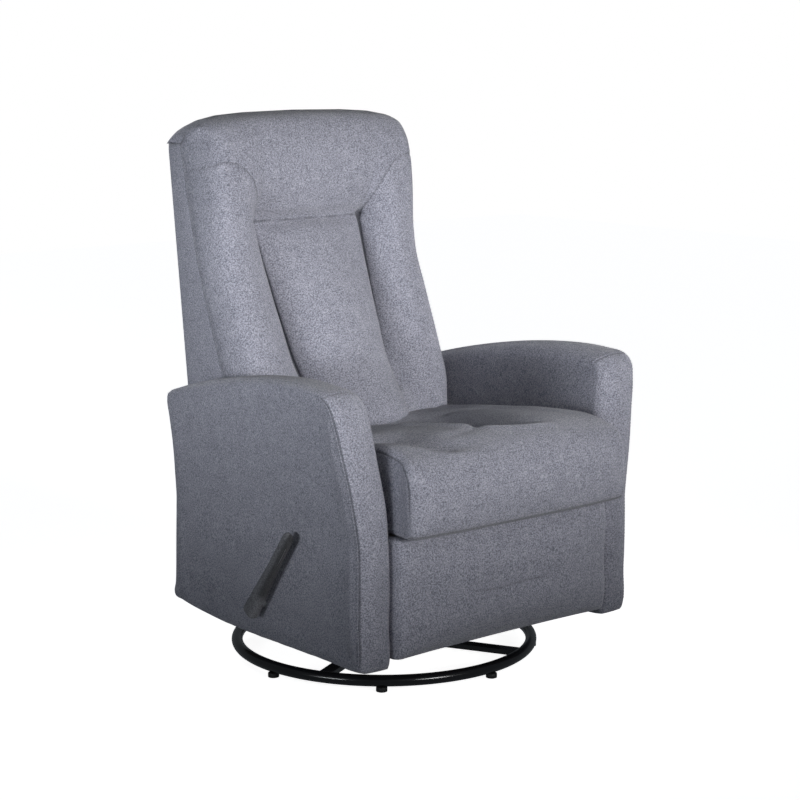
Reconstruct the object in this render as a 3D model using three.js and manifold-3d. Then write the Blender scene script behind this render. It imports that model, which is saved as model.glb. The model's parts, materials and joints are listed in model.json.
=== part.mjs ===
import * as THREE from "three";
import { mergeVertices } from "three/addons/utils/BufferGeometryUtils.js";
import Module from "manifold-3d";

// Swivel glider recliner, in millimetres. The chair faces -Y, +Z is up and its user's right is -X.
// The pieces are drawn from the swivel axis and the floor, and the whole group is then moved along Y, so
// that the origin is on the floor under the middle of the chair. "Forward" is a distance towards -Y.

const wasm = await Module();
wasm.setup();

// Clearances and cuts
const restGap = 0.3; // between pieces that lie against each other
const pinGap = 0.4; // round a pin in its hole
const overrun = 5; // how far a cut runs past its piece
const sleeveGap = 2; // round a shaft that passes through padding or board

// Sides and steps of round forms
const barSides = 14;
const linkEndSteps = 7;
const turnedSides = 28;
const ringSteps = 64;
const ringTubeSides = 10;
const sleeveSteps = 12;

// Base ring, spokes and feet
const ringRadius = 292.4; // centre line of the ring tube
const ringTubeRadius = 11;
const footHeight = 9;
const footRadius = 11;
const footCount = 8;
const spokeWidth = 26;
const spokeThickness = 10;
const baseTurn = 4.2; // degrees, the base against the seat
const spokeTurn = 22.5; // degrees, the first spoke against the first foot

// Swivel bearing
const bearingDiscRadius = 95;
const bearingDiscThickness = 5;
const bearingBossRadius = 40;
const bearingBossHeight = 12;
const postRadius = 14;
const postHeight = 28; // above the boss
const turnDiscRadius = 120;
const turnDiscThickness = 6;

// Glider frame, above the bearing
const gliderPlateHalf = 213.5; // outer face of each upright plate
const gliderPlateThickness = 4;
const gliderBarWidth = 24;
const gliderBarForward = 84; // centre of each cross bar, to front and to rear
const gliderPlateTopMargin = 16; // above the upper pivots
const gliderPlateEndMargin = 16; // beyond the upper pivots

// Swing links
const swingForward = 110; // pivots to front and to rear of the centre
const swingLowHeight = 105; // lower pivots above the floor
const swingLength = 115;
const swingWidth = 24;
const swingThickness = 4;
const swingPinRadius = 6;
const swingLayerGap = 1;

// Chassis plates and cross tubes
const chassisThickness = 4;
const chassisLowMargin = 13; // below the lower pivots
const chassisEndMargin = 15; // beyond the lower pivots
const chassisTopFront = 160;
const chassisTopRear = 150;
const crossTubeSize = 25;
const crossTubeFrontForward = 140;
const crossTubeRearForward = -130;
const crossTubeLow = 281; // underside above the floor

// Arms
const armGap = 532; // clear width between the arms at the foot
const armThickness = 69;
const armFrontForward = 337;
const armDepth = 585;
const armFootHeight = 89;
const armHeight = 507; // foot to the highest point of the top
const armFlareOuter = 50; // how far the outer face leans out at the top of the front
const armFlareInner = 32;
const armFlareStart = 226; // above the foot
const armFlareRearShare = 0.45; // of the flare, left at the rear end
const armFlareOuterPower = 1.15;
const armFlareInnerPower = 2.2;
const armRoundOuter = 12;
const armRoundInner = 26;
const armBoardThickness = 18;
const armBoardMargin = 42; // between the board and the edge of the padding
const armBoardRise = 330; // height of the board above the foot
const armBoardWall = 12; // padding between the board and the inner face

// Mechanism side plates and the flat links beside them
const linkThickness = 3.5;
const linkLayerGap = 1;
const linkWidth = 20;
const linkPinRadius = 5;
const sidePlateFront = 248;
const sidePlateRear = 226;
const sidePlateTop = 316;
const sidePlateBottom = 270;
const sidePlateTongueWidth = 44;
const sidePlateTongueDrop = 20; // below the lever shaft
const hingeEarWidth = 36;
const hingeEarRise = 17; // above the hinge axis

// Footrest linkage, in forward and height
const drivePivotForward = 222;
const drivePivotHeight = 295;
const driveLength = 175;
const driveAngle = 235; // degrees, from forward towards up
const rearPivotOffset = 40;
const rearPivotAngle = 190;
const shortArmOffset = 40;
const shortArmAngle = 290;
const bracketPivotForward = 250;
const bracketPivotHeight = 282;
const torqueTubeRadius = 8;
const torqueHubWidth = 26;

// Lever, its shaft and the drive rod
const leverPivotForward = 54;
const leverPivotHeight = 160;
const leverShaftRadius = 7;
const leverGapToArm = 8;
const leverLength = 216; // hub end to tip
const leverTail = 26; // behind the pivot
const leverAngle = 54.5;
const leverHubWidth = 44;
const leverTipWidth = 30;
const leverThickness = 28;
const leverCoreWidth = 16;
const leverCoreThickness = 6;
const crankLength = 34;
const crankAngle = 263.7;

// Seat
const seatBoardThickness = 12;
const seatBoardFront = 236;
const seatBoardRear = 140;
const seatBoardHalf = 232;
const seatHalf = 258.5;
const seatRollOverhang = 9; // how far the front roll swells out before each arm
const seatFront = 408; // forward reach of the front roll
const seatRear = 148;
const seatTopHeight = 487;
const seatEdgeRound = 14;
const seatFrontUnderside = 337;
const seatCrown = 6;
const seatValleyForward = 268;
const seatValleyDepth = 17;
const seatValleyWidth = 34;
const seatTuftWidth = 70;
const seatTuftShare = 0.6; // of the valley's depth, only near the middle
const seatUnderFrontShare = 0.7; // where the underside starts to rise to the front

// Footrest
const footrestHalf = 262;
const footrestLow = 102;
const footrestHigh = 325;
const footrestFront = 369.5;
const footrestPadDepth = 46;
const footrestBoardThickness = 12;
const footrestBoardMargin = 5;
const footrestCrown = 7;
const footrestRound = 9;
const footrestCreaseDepth = 3;
const footrestCreaseWidth = 12;
const bracketFlange = 26;

// Back, in its own leaning frame whose origin is the hinge axis
const hingeForward = -205;
const hingeHeight = 335;
const hingePinRadius = 6;
const backLean = 6.4; // degrees
const backHalf = 260;
const backRearFace = 74; // outer face of the rear panel behind the hinge axis
const backPanelThickness = 4;
const backFrameDepth = 22;
const backFrameLow = -78;
const backFrameTop = 666;
const backRailHeight = 60;
const backUprightWidth = 45;
const backUprightHalf = 250; // outer face of each upright
const backCushionLow = 104;
const backCushionTop = 720;
const backCushionHalf = 255.4;
const backCushionDepth = 200; // forward reach at the lumbar
const backSeamHalf = 126; // the sewn valley between centre and bolster
const backBolsterHalf = 196;
const backEdgeRound = 18;
const backCornerDrop = 52; // from the crown of the top to its outer corners
const backTopCrown = 4;
const backCornerStart = 110; // from the middle to where the corners start to fall
const backLipHeight = 7; // least height of the top roll over the frame
const hingeBracketHeight = 95;
const hingeBracketThickness = 4;
const panelNotchHeight = 102; // below it the side panels keep clear of the seat

// Rear valance, between the arms under the back
const valanceRear = 216;
const valanceThickness = 6;
const valanceLow = 100;
const valanceHigh = 222;

// Materials
const fabric = (name) => new THREE.MeshStandardMaterial({ name, color: 0x76818c, roughness: 0.95 });
const steel = (name) =>
  new THREE.MeshStandardMaterial({ name, color: 0x6d7072, roughness: 0.45, metalness: 0.9 });
const blackSteel = (name) =>
  new THREE.MeshStandardMaterial({ name, color: 0x0c0c0d, roughness: 0.18, metalness: 0.6 });
const board = (name) => new THREE.MeshStandardMaterial({ name, color: 0xb08a5c, roughness: 0.8 });
const plastic = (name) => new THREE.MeshStandardMaterial({ name, color: 0x101010, roughness: 0.6 });

const part = new THREE.Group();
const backGroup = new THREE.Group();
part.add(backGroup);

function addMesh(name, geometry, material, group = part) {
  const mesh = new THREE.Mesh(geometry, material(name));
  mesh.name = name;
  group.add(mesh);
  return mesh;
}

// Solids and booleans
function solidOf(geometry) {
  const bare = geometry.index ? geometry.clone() : mergeVertices(geometry.clone());
  bare.deleteAttribute("normal");
  bare.deleteAttribute("uv");
  const merged = mergeVertices(bare);
  return new wasm.Manifold(
    new wasm.Mesh({
      numProp: 3,
      vertProperties: new Float32Array(merged.attributes.position.array),
      triVerts: new Uint32Array(merged.index.array),
    }),
  );
}

function geometryOf(solid) {
  const mesh = solid.getMesh();
  const geometry = new THREE.BufferGeometry();
  geometry.setAttribute("position", new THREE.BufferAttribute(mesh.vertProperties, 3));
  geometry.setIndex(new THREE.BufferAttribute(mesh.triVerts, 1));
  geometry.computeVertexNormals();
  return geometry;
}

function joined(first, ...others) {
  return geometryOf(others.reduce((sum, next) => sum.add(solidOf(next)), solidOf(first)));
}

function cut(first, ...others) {
  return geometryOf(others.reduce((rest, next) => rest.subtract(solidOf(next)), solidOf(first)));
}

// A box between two corners
function boxBetween([x0, y0, z0], [x1, y1, z1]) {
  const geometry = new THREE.BoxGeometry(x1 - x0, y1 - y0, z1 - z0);
  return geometry.translate((x0 + x1) / 2, (y0 + y1) / 2, (z0 + z1) / 2);
}

// A round bar along X through a point given as forward and height
function barAlongX(x0, x1, [forward, height], radius) {
  const geometry = new THREE.CylinderGeometry(radius, radius, Math.abs(x1 - x0), barSides);
  geometry.rotateZ(Math.PI / 2);
  return geometry.translate((x0 + x1) / 2, -forward, height);
}

// A flat plate in the side plane, drawn in forward and height, between two places along X
function sidePlate(points, x0, x1) {
  const shape = new THREE.Shape(points.map(([forward, height]) => new THREE.Vector2(forward, height)));
  const thickness = Math.abs(x1 - x0);
  const geometry = new THREE.ExtrudeGeometry(shape, { depth: thickness, bevelEnabled: false });
  const turn = new THREE.Matrix4().makeBasis(
    new THREE.Vector3(0, -1, 0),
    new THREE.Vector3(0, 0, 1),
    new THREE.Vector3(-1, 0, 0),
  );
  geometry.applyMatrix4(turn);
  return geometry.translate(Math.max(x0, x1), 0, 0);
}

// Direction and distance in the side plane
function polar(angle, length) {
  const radians = THREE.MathUtils.degToRad(angle);
  return [length * Math.cos(radians), length * Math.sin(radians)];
}

function shifted([forward, height], [moreForward, moreHeight]) {
  return [forward + moreForward, height + moreHeight];
}

// The outline of a flat link: round ends at each of its pivots, joined in order
function linkOutline(from, to, width) {
  const radius = width / 2;
  const along = Math.atan2(to[1] - from[1], to[0] - from[0]);
  const points = [];
  for (const [centre, start] of [[to, along - Math.PI / 2], [from, along + Math.PI / 2]]) {
    for (let step = 0; step <= linkEndSteps; step += 1) {
      const angle = start + (Math.PI * step) / linkEndSteps;
      points.push([centre[0] + radius * Math.cos(angle), centre[1] + radius * Math.sin(angle)]);
    }
  }
  return points;
}

// A closed body through rings of points. Its two ends are closed by fans, or by bands from the first half
// of the ring to the second
function loft(rings, isBanded = false) {
  const count = rings[0].length;
  const places = rings.flat().flatMap((point) => point);
  const index = [];
  for (let ring = 0; ring < rings.length - 1; ring += 1) {
    for (let place = 0; place < count; place += 1) {
      const next = (place + 1) % count;
      const [a, b] = [ring * count + place, ring * count + next];
      const [c, d] = [a + count, b + count];
      index.push(a, b, d, a, d, c);
    }
  }
  for (const ring of isBanded ? [0, rings.length - 1] : []) {
    const first = ring * count;
    for (let place = 0; place < count / 2 - 1; place += 1) {
      const [a, b] = [first + place, first + place + 1];
      const [c, d] = [first + count - 2 - place, first + count - 1 - place];
      index.push(...(ring === 0 ? [a, c, b, a, d, c] : [a, b, c, a, c, d]));
    }
  }
  for (const ring of isBanded ? [] : [0, rings.length - 1]) {
    const middle = rings[ring].reduce((sum, p) => sum.map((v, axis) => v + p[axis] / count), [0, 0, 0]);
    const centre = places.length / 3;
    places.push(...middle);
    for (let place = 0; place < count; place += 1) {
      const [a, b] = [ring * count + place, ring * count + ((place + 1) % count)];
      index.push(...(ring === 0 ? [centre, b, a] : [centre, a, b]));
    }
  }
  let volume = 0;
  const corner = (n) => new THREE.Vector3(...places.slice(3 * n, 3 * n + 3));
  for (let n = 0; n < index.length; n += 3) {
    volume += corner(index[n]).dot(corner(index[n + 1]).cross(corner(index[n + 2])));
  }
  if (volume < 0) index.reverse();
  const geometry = new THREE.BufferGeometry();
  geometry.setAttribute("position", new THREE.Float32BufferAttribute(places, 3));
  geometry.setIndex(index);
  geometry.computeVertexNormals();
  return geometry;
}

// A smooth curve through points, sampled evenly
function smooth(points, count, closed = false) {
  const curve = new THREE.CatmullRomCurve3(
    points.map(([forward, height]) => new THREE.Vector3(forward, height, 0)),
    closed,
    "centripetal",
  );
  const sampled = curve.getSpacedPoints(closed ? count : count - 1);
  return (closed ? sampled.slice(0, count) : sampled).map(({ x, y }) => [x, y]);
}

// Linear reading of a table of shares
function readShares(placeShares, valueShares, place) {
  let step = 1;
  while (step < placeShares.length - 1 && place > placeShares[step]) step += 1;
  const span = placeShares[step] - placeShares[step - 1];
  const along = THREE.MathUtils.clamp((place - placeShares[step - 1]) / span, 0, 1);
  return THREE.MathUtils.lerp(valueShares[step - 1], valueShares[step], along);
}

// Every point of an outline moved inwards, square to it
function inset(points, distance) {
  return points.map(([forward, height], place) => {
    const before = points[(place + points.length - 1) % points.length];
    const after = points[(place + 1) % points.length];
    const along = [after[0] - before[0], after[1] - before[1]];
    const length = Math.hypot(...along);
    return [forward - (distance * -along[1]) / length, height - (distance * along[0]) / length];
  });
}

const sides = [["left", 1], ["right", -1]];

// Base ring
const ringHeight = footHeight + restGap + ringTubeRadius;
addMesh(
  "base_ring",
  new THREE.TorusGeometry(ringRadius, ringTubeRadius, ringTubeSides, ringSteps).translate(0, 0, ringHeight),
  blackSteel,
);

// Two crossed bars inside the ring, welded in the middle, under the bearing
const spokeOuter = (ringRadius - ringTubeRadius) * Math.cos(Math.PI / ringSteps) - restGap;
const spokeTop = ringHeight + spokeThickness / 2;
const crossBars = [0, 1].map((quarter) => {
  const bar = boxBetween(
    [-spokeOuter, -spokeWidth / 2, spokeTop - spokeThickness],
    [spokeOuter, spokeWidth / 2, spokeTop],
  );
  return bar.rotateZ(THREE.MathUtils.degToRad(baseTurn + spokeTurn) + (Math.PI / 2) * quarter);
});
addMesh("base_cross", joined(...crossBars), blackSteel);

// Feet
for (let foot = 0; foot < footCount; foot += 1) {
  const turn = THREE.MathUtils.degToRad(baseTurn + (360 / footCount) * foot);
  const puck = new THREE.CylinderGeometry(footRadius, footRadius, footHeight, barSides);
  puck.rotateX(Math.PI / 2);
  puck.translate(ringRadius * Math.cos(turn), ringRadius * Math.sin(turn), footHeight / 2);
  addMesh(`base_foot_${foot + 1}`, puck, plastic);
}

// Lower bearing: disc, boss and post as one turned piece
function turned(profile) {
  const geometry = new THREE.LatheGeometry(
    profile.map(([radius, height]) => new THREE.Vector2(radius, height)),
    turnedSides,
  );
  return geometry.rotateX(Math.PI / 2);
}
const discLow = spokeTop + restGap;
const bossLow = discLow + bearingDiscThickness;
const bossTop = bossLow + bearingBossHeight;
const postTop = bossTop + postHeight;
const lowerBearing = turned([
  [0, discLow],
  [bearingDiscRadius, discLow],
  [bearingDiscRadius, bossLow],
  [bearingBossRadius, bossLow],
  [bearingBossRadius, bossTop],
  [postRadius, bossTop],
  [postRadius, postTop],
  [0, postTop],
]);
addMesh("bearing_lower_plate", lowerBearing, steel);

// Upper bearing disc, which turns on the boss round the post
const turnDiscLow = bossTop + restGap;
const turnDiscTop = turnDiscLow + turnDiscThickness;
const turnDiscBore = postRadius + pinGap;
const upperBearing = turned([
  [turnDiscBore, turnDiscLow],
  [turnDiscRadius, turnDiscLow],
  [turnDiscRadius, turnDiscTop],
  [turnDiscBore, turnDiscTop],
  [turnDiscBore, turnDiscLow],
]);
addMesh("bearing_upper_plate", upperBearing, steel);

// Glider frame: two cross bars on the disc and an upright plate at each side
const gliderBarLow = turnDiscTop + restGap;
const gliderPlateInner = gliderPlateHalf - gliderPlateThickness;
const swingHighHeight = swingLowHeight + swingLength;
for (const [end, forward] of [["front", gliderBarForward], ["rear", -gliderBarForward]]) {
  const reach = gliderPlateInner - restGap;
  const bar = boxBetween(
    [-reach, -forward - gliderBarWidth / 2, gliderBarLow],
    [reach, -forward + gliderBarWidth / 2, gliderBarLow + gliderBarWidth],
  );
  addMesh(`glider_cross_bar_${end}`, bar, blackSteel);
}
for (const [side, sign] of sides) {
  const top = swingHighHeight + gliderPlateTopMargin;
  const end = swingForward + gliderPlateEndMargin;
  const foot = gliderBarForward + gliderBarWidth;
  const corners = [[-foot, gliderBarLow], [foot, gliderBarLow], [end, swingHighHeight]];
  corners.push([swingForward, top], [-swingForward, top], [-end, swingHighHeight]);
  const [x0, x1] = [sign * gliderPlateInner, sign * gliderPlateHalf];
  const middle = (x0 + x1) / 2;
  const holes = [swingForward, -swingForward].map((forward) => {
    const pivot = [forward, swingHighHeight];
    return barAlongX(middle - overrun, middle + overrun, pivot, swingPinRadius + pinGap);
  });
  addMesh(`glider_plate_${side}`, cut(sidePlate(corners, x0, x1), ...holes), blackSteel);
}

// Swing links: the upper pin turns in the glider plate, the lower pin in the chassis plate
const swingInner = gliderPlateHalf + swingLayerGap;
const swingOuter = swingInner + swingThickness;
const chassisInner = swingOuter + swingLayerGap;
const chassisOuter = chassisInner + chassisThickness;
for (const [side, sign] of sides) {
  for (const [end, forward] of [["front", swingForward], ["rear", -swingForward]]) {
    const high = [forward, swingHighHeight];
    const low = [forward, swingLowHeight];
    const bar = sidePlate(linkOutline(low, high, swingWidth), sign * swingInner, sign * swingOuter);
    const upperPin = barAlongX(sign * gliderPlateInner, sign * swingOuter, high, swingPinRadius);
    const lowerPin = barAlongX(sign * swingInner, sign * chassisOuter, low, swingPinRadius);
    addMesh(`swing_link_${end}_${side}`, joined(bar, upperPin, lowerPin), steel);
  }
}

// Chassis plates
for (const [side, sign] of sides) {
  const low = swingLowHeight - chassisLowMargin;
  const top = crossTubeLow - restGap;
  const end = swingForward + chassisEndMargin;
  const corners = [[-end, low], [end, low], [chassisTopFront, top], [-chassisTopRear, top]];
  const plate = sidePlate(corners, sign * chassisInner, sign * chassisOuter);
  const middle = (sign * (chassisInner + chassisOuter)) / 2;
  const holes = [swingForward, -swingForward].map((forward) =>
    barAlongX(middle - overrun, middle + overrun, [forward, swingLowHeight], swingPinRadius + pinGap));
  addMesh(`chassis_plate_${side}`, cut(plate, ...holes), steel);
}

// Layers of flat pieces beside each arm, counted inwards from the side plate
const armInnerHalf = armGap / 2;
const sidePlateOuter = armInnerHalf - restGap;
function layer(number) {
  const outer = sidePlateOuter - number * (linkThickness + linkLayerGap);
  return { outer, inner: outer - linkThickness, middle: outer - linkThickness / 2 };
}

// Cross tubes, between the side plates and on top of the chassis plates
const crossTubeHalf = layer(0).inner - restGap;
const crossTubeTop = crossTubeLow + crossTubeSize;
for (const [end, forward] of [["front", crossTubeFrontForward], ["rear", crossTubeRearForward]]) {
  const tube = boxBetween(
    [-crossTubeHalf, -forward - crossTubeSize / 2, crossTubeLow],
    [crossTubeHalf, -forward + crossTubeSize / 2, crossTubeTop],
  );
  addMesh(`cross_tube_${end}`, tube, steel);
}

// Seat board
const seatBoardLow = crossTubeTop + restGap;
const seatBoardTop = seatBoardLow + seatBoardThickness;
const seatBoard = boxBetween(
  [-seatBoardHalf, -seatBoardFront, seatBoardLow],
  [seatBoardHalf, seatBoardRear, seatBoardTop],
);
addMesh("seat_board", seatBoard, board);

// Pivots of the footrest linkage, all in forward and height
const drivePivot = [drivePivotForward, drivePivotHeight];
const rearOffset = polar(rearPivotAngle, rearPivotOffset);
const shortOffset = polar(shortArmAngle, shortArmOffset);
const rearPivot = shifted(drivePivot, rearOffset);
const driveEnd = shifted(drivePivot, polar(driveAngle, driveLength));
const rearEnd = shifted(driveEnd, rearOffset);
const shortPivot = shifted(driveEnd, shortOffset);
const bracketPivot = [bracketPivotForward, bracketPivotHeight];
const bracketLowPivot = shifted(bracketPivot, shortOffset);
const leverPivot = [leverPivotForward, leverPivotHeight];
const crankOffset = polar(crankAngle, crankLength);
const hingePivot = [hingeForward, hingeHeight];

function holeAt(sign, number, pivot, radius) {
  const middle = sign * layer(number).middle;
  return barAlongX(middle - overrun, middle + overrun, pivot, radius);
}

// A pin that starts in one layer and ends flush with the far face of another
function pinAcross(sign, from, to, pivot, radius = linkPinRadius) {
  const ends = [layer(from).outer, layer(from).inner, layer(to).outer, layer(to).inner];
  return barAlongX(sign * Math.max(...ends), sign * Math.min(...ends), pivot, radius);
}

function flatLink(sign, number, outline) {
  return sidePlate(outline, sign * layer(number).outer, sign * layer(number).inner);
}

// Side plates, with the hinge ear at the rear and the tongue that carries the lever shaft
const torqueJournalRadius = linkPinRadius;
for (const [side, sign] of sides) {
  const earFront = hingeForward + hingeEarWidth / 2;
  const earRear = hingeForward - hingeEarWidth / 2;
  const earTop = hingeHeight + hingeEarRise;
  const tongueFront = leverPivotForward + sidePlateTongueWidth / 2;
  const tongueRear = leverPivotForward - sidePlateTongueWidth / 2;
  const tongueLow = leverPivotHeight - sidePlateTongueDrop;
  const corners = [
    [-sidePlateRear, sidePlateBottom],
    [tongueRear, sidePlateBottom],
    [tongueRear, tongueLow],
    [tongueFront, tongueLow],
    [tongueFront, sidePlateBottom],
    [sidePlateFront, sidePlateBottom],
    [sidePlateFront, sidePlateTop],
    [earFront, sidePlateTop],
    [earFront, earTop],
    [earRear, earTop],
    [-sidePlateRear, sidePlateTop],
  ];
  const plate = cut(
    flatLink(sign, 0, corners),
    holeAt(sign, 0, rearPivot, linkPinRadius + pinGap),
    holeAt(sign, 0, drivePivot, torqueJournalRadius + pinGap),
    holeAt(sign, 0, leverPivot, leverShaftRadius + pinGap),
    holeAt(sign, 0, hingePivot, hingePinRadius + pinGap),
  );
  addMesh(`side_plate_${side}`, plate, steel);
}

// Footrest links. Layers: 1 rear link, 2 long link, 3 drive link and bracket, 4 short link
const boardRearForward = footrestFront - footrestPadDepth - footrestBoardThickness;
for (const [side, sign] of sides) {
  const rearLink = joined(
    flatLink(sign, 1, linkOutline(rearEnd, rearPivot, linkWidth)),
    pinAcross(sign, 0, 1, rearPivot),
  );
  const rearLinkCut = cut(rearLink, holeAt(sign, 1, rearEnd, linkPinRadius + pinGap));
  addMesh(`rear_link_${side}`, rearLinkCut, steel);

  const longLink = joined(
    flatLink(sign, 2, linkOutline(driveEnd, bracketPivot, linkWidth)),
    flatLink(sign, 2, linkOutline(rearEnd, driveEnd, linkWidth)),
    pinAcross(sign, 1, 2, rearEnd),
    pinAcross(sign, 2, 3, bracketPivot),
  );
  const longLinkCut = cut(longLink, holeAt(sign, 2, driveEnd, linkPinRadius + pinGap));
  addMesh(`long_link_${side}`, longLinkCut, steel);

  const driveLink = joined(
    flatLink(sign, 3, linkOutline(drivePivot, driveEnd, linkWidth)),
    flatLink(sign, 3, linkOutline(driveEnd, shortPivot, linkWidth)),
    barAlongX(sign * layer(3).outer, sign * layer(3).inner, drivePivot, torqueHubWidth / 2),
    pinAcross(sign, 2, 3, driveEnd),
    pinAcross(sign, 3, 4, shortPivot),
  );
  const driveLinkCut = cut(driveLink, holeAt(sign, 3, drivePivot, torqueTubeRadius + restGap));
  addMesh(`drive_link_${side}`, driveLinkCut, steel);

  const shortLink = joined(
    flatLink(sign, 4, linkOutline(shortPivot, bracketLowPivot, linkWidth)),
    pinAcross(sign, 3, 4, bracketLowPivot),
  );
  const shortLinkCut = cut(shortLink, holeAt(sign, 4, shortPivot, linkPinRadius + pinGap));
  addMesh(`short_link_${side}`, shortLinkCut, steel);

  const face = boardRearForward - restGap;
  const plateBack = [[bracketLowPivot[0], bracketLowPivot[1] - linkWidth / 2]];
  plateBack.push([face, bracketLowPivot[1] - linkWidth / 2], [face, bracketPivot[1] + linkWidth / 2]);
  plateBack.push([bracketPivot[0], bracketPivot[1] + linkWidth / 2]);
  const flangeEdges = [sign * layer(3).outer, sign * (layer(3).outer - bracketFlange)].sort((a, b) => a - b);
  const flange = boxBetween(
    [flangeEdges[0], -face, bracketLowPivot[1] - linkWidth / 2],
    [flangeEdges[1], -face + linkThickness, bracketPivot[1] + linkWidth / 2],
  );
  const bracket = joined(
    flatLink(sign, 3, plateBack),
    flatLink(sign, 3, linkOutline(bracketLowPivot, bracketPivot, linkWidth)),
    flange,
  );
  const bracketCut = cut(
    bracket,
    holeAt(sign, 3, bracketPivot, linkPinRadius + pinGap),
    holeAt(sign, 3, bracketLowPivot, linkPinRadius + pinGap),
  );
  addMesh(`footrest_bracket_${side}`, bracketCut, steel);
}

// Torque tube, stepped down to a journal in each side plate, with a crank beside the lever
const journalHalf = layer(0).outer;
const tubeHalf = layer(3).outer;
const crankLayer = 6;
const rodLayer = 5;
const driveCrankEnd = shifted(drivePivot, crankOffset);
const leverCrankEnd = shifted(leverPivot, crankOffset);
const torqueTube = joined(
  barAlongX(-tubeHalf, tubeHalf, drivePivot, torqueTubeRadius),
  barAlongX(-journalHalf, journalHalf, drivePivot, torqueJournalRadius),
  flatLink(-1, crankLayer, linkOutline(drivePivot, driveCrankEnd, linkWidth)),
  pinAcross(-1, rodLayer, crankLayer, driveCrankEnd),
);
addMesh("torque_tube", torqueTube, steel);

// Drive rod between the two cranks
const driveRod = cut(
  flatLink(-1, rodLayer, linkOutline(leverCrankEnd, driveCrankEnd, linkWidth)),
  holeAt(-1, rodLayer, driveCrankEnd, linkPinRadius + pinGap),
  holeAt(-1, rodLayer, leverCrankEnd, linkPinRadius + pinGap),
);
addMesh("drive_rod", driveRod, steel);

// Lever shaft with its crank inside and its flat bar outside, through the side plate and the arm
const armOuterHalf = armInnerHalf + armThickness;
const leverInner = armOuterHalf + leverGapToArm;
const leverMiddle = leverInner + leverThickness / 2;
const leverCoreInner = leverMiddle - leverCoreThickness / 2;
const leverCoreOuter = leverMiddle + leverCoreThickness / 2;
const coreTip = shifted(leverPivot, polar(leverAngle, leverLength - leverTail - leverTipWidth));
const leverShaft = joined(
  sidePlate(linkOutline(leverPivot, coreTip, leverCoreWidth), -leverCoreInner, -leverCoreOuter),
  barAlongX(-leverCoreOuter, -layer(crankLayer).inner, leverPivot, leverShaftRadius),
  flatLink(-1, crankLayer, linkOutline(leverPivot, leverCrankEnd, linkWidth)),
  pinAcross(-1, rodLayer, crankLayer, leverCrankEnd),
);
addMesh("lever_shaft", leverShaft, steel);

// Padded lever sleeve: rounded sections along the lever, hollow round the core and the shaft
const sleeveStationShares = [0, 0.03, 0.12, 0.5, 0.88, 0.97, 1];
const sleeveRoundness = 0.55; // power that squares the round section
const sleeveSizeShares = [0.72, 0.92, 1, 1, 1, 0.92, 0.72];
const leverStart = shifted(leverPivot, polar(leverAngle, -leverTail));
const leverAcross = polar(leverAngle + 90, 1);
const sleeveRings = sleeveStationShares.map((stationShare, station) => {
  const middle = shifted(leverStart, polar(leverAngle, leverLength * stationShare));
  const width = THREE.MathUtils.lerp(leverHubWidth, leverTipWidth, stationShare);
  const ring = [];
  for (let step = 0; step < sleeveSteps; step += 1) {
    const angle = (2 * Math.PI * (step + 0.5)) / sleeveSteps;
    const wide = Math.sign(Math.cos(angle)) * Math.abs(Math.cos(angle)) ** sleeveRoundness;
    const deep = Math.sign(Math.sin(angle)) * Math.abs(Math.sin(angle)) ** sleeveRoundness;
    const offset = (wide * width * sleeveSizeShares[station]) / 2;
    ring.push([
      -leverMiddle - (deep * leverThickness * sleeveSizeShares[station]) / 2,
      -(middle[0] + leverAcross[0] * offset),
      middle[1] + leverAcross[1] * offset,
    ]);
  }
  return ring;
});
const corePocket = sidePlate(
  linkOutline(leverPivot, coreTip, leverCoreWidth + restGap + restGap),
  -(leverCoreInner - restGap),
  -(leverCoreOuter + restGap),
);
const shaftPocket = barAlongX(
  -(leverInner - overrun),
  -leverMiddle,
  leverPivot,
  leverShaftRadius + restGap,
);
addMesh("lever_sleeve", cut(loft(sleeveRings), corePocket, shaftPocket), fabric);

// Arms. Each row of the side outline gives a share of the height and, at that height, the front and the
// rear edge as shares of the depth
const armRowShares = [
  [0, 0, 0.62], [0.01, 0, 0.8], [0.0375, 0, 1.005], [0.16, -0.0017, 1], [0.318, -0.0034, 0.994],
  [0.5, 0, 0.988], [0.653, 0.0068, 0.986], [0.735, 0.014, 0.9885], [0.791, 0.0205, 0.99],
  [0.846, 0.027, 0.991], [0.86, 0.029, 0.966], [0.89, 0.0325, 0.866], [0.909, 0.037, 0.803],
  [0.939, 0.0455, 0.682], [0.9665, 0.06, 0.549], [0.986, 0.0855, 0.409], [0.992, 0.118, 0.366],
  [0.996, 0.149, 0.315], [1, 0.22, 0.262],
];
const armPlace = (depthShare, heightShare) =>
  [armFrontForward - armDepth * depthShare, armFootHeight + armHeight * heightShare];
const armFrontEdge = armRowShares.map(([heightShare, frontShare]) => armPlace(frontShare, heightShare));
const armRearEdge = armRowShares.map(([heightShare, , rearShare]) => armPlace(rearShare, heightShare));
const armOutline = [...armFrontEdge, ...armRearEdge.reverse()];

// How far a face leans out at a place: more towards the top, less towards the rear
function armFlare([forward, height], flare, power) {
  const rise = THREE.MathUtils.clamp(
    (height - armFootHeight - armFlareStart) / (armHeight - armFlareStart), 0, 1);
  const rearward = THREE.MathUtils.clamp((armFrontForward - forward) / armDepth, 0, 1);
  return flare * rise ** power * THREE.MathUtils.lerp(1, armFlareRearShare, rearward);
}

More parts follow.
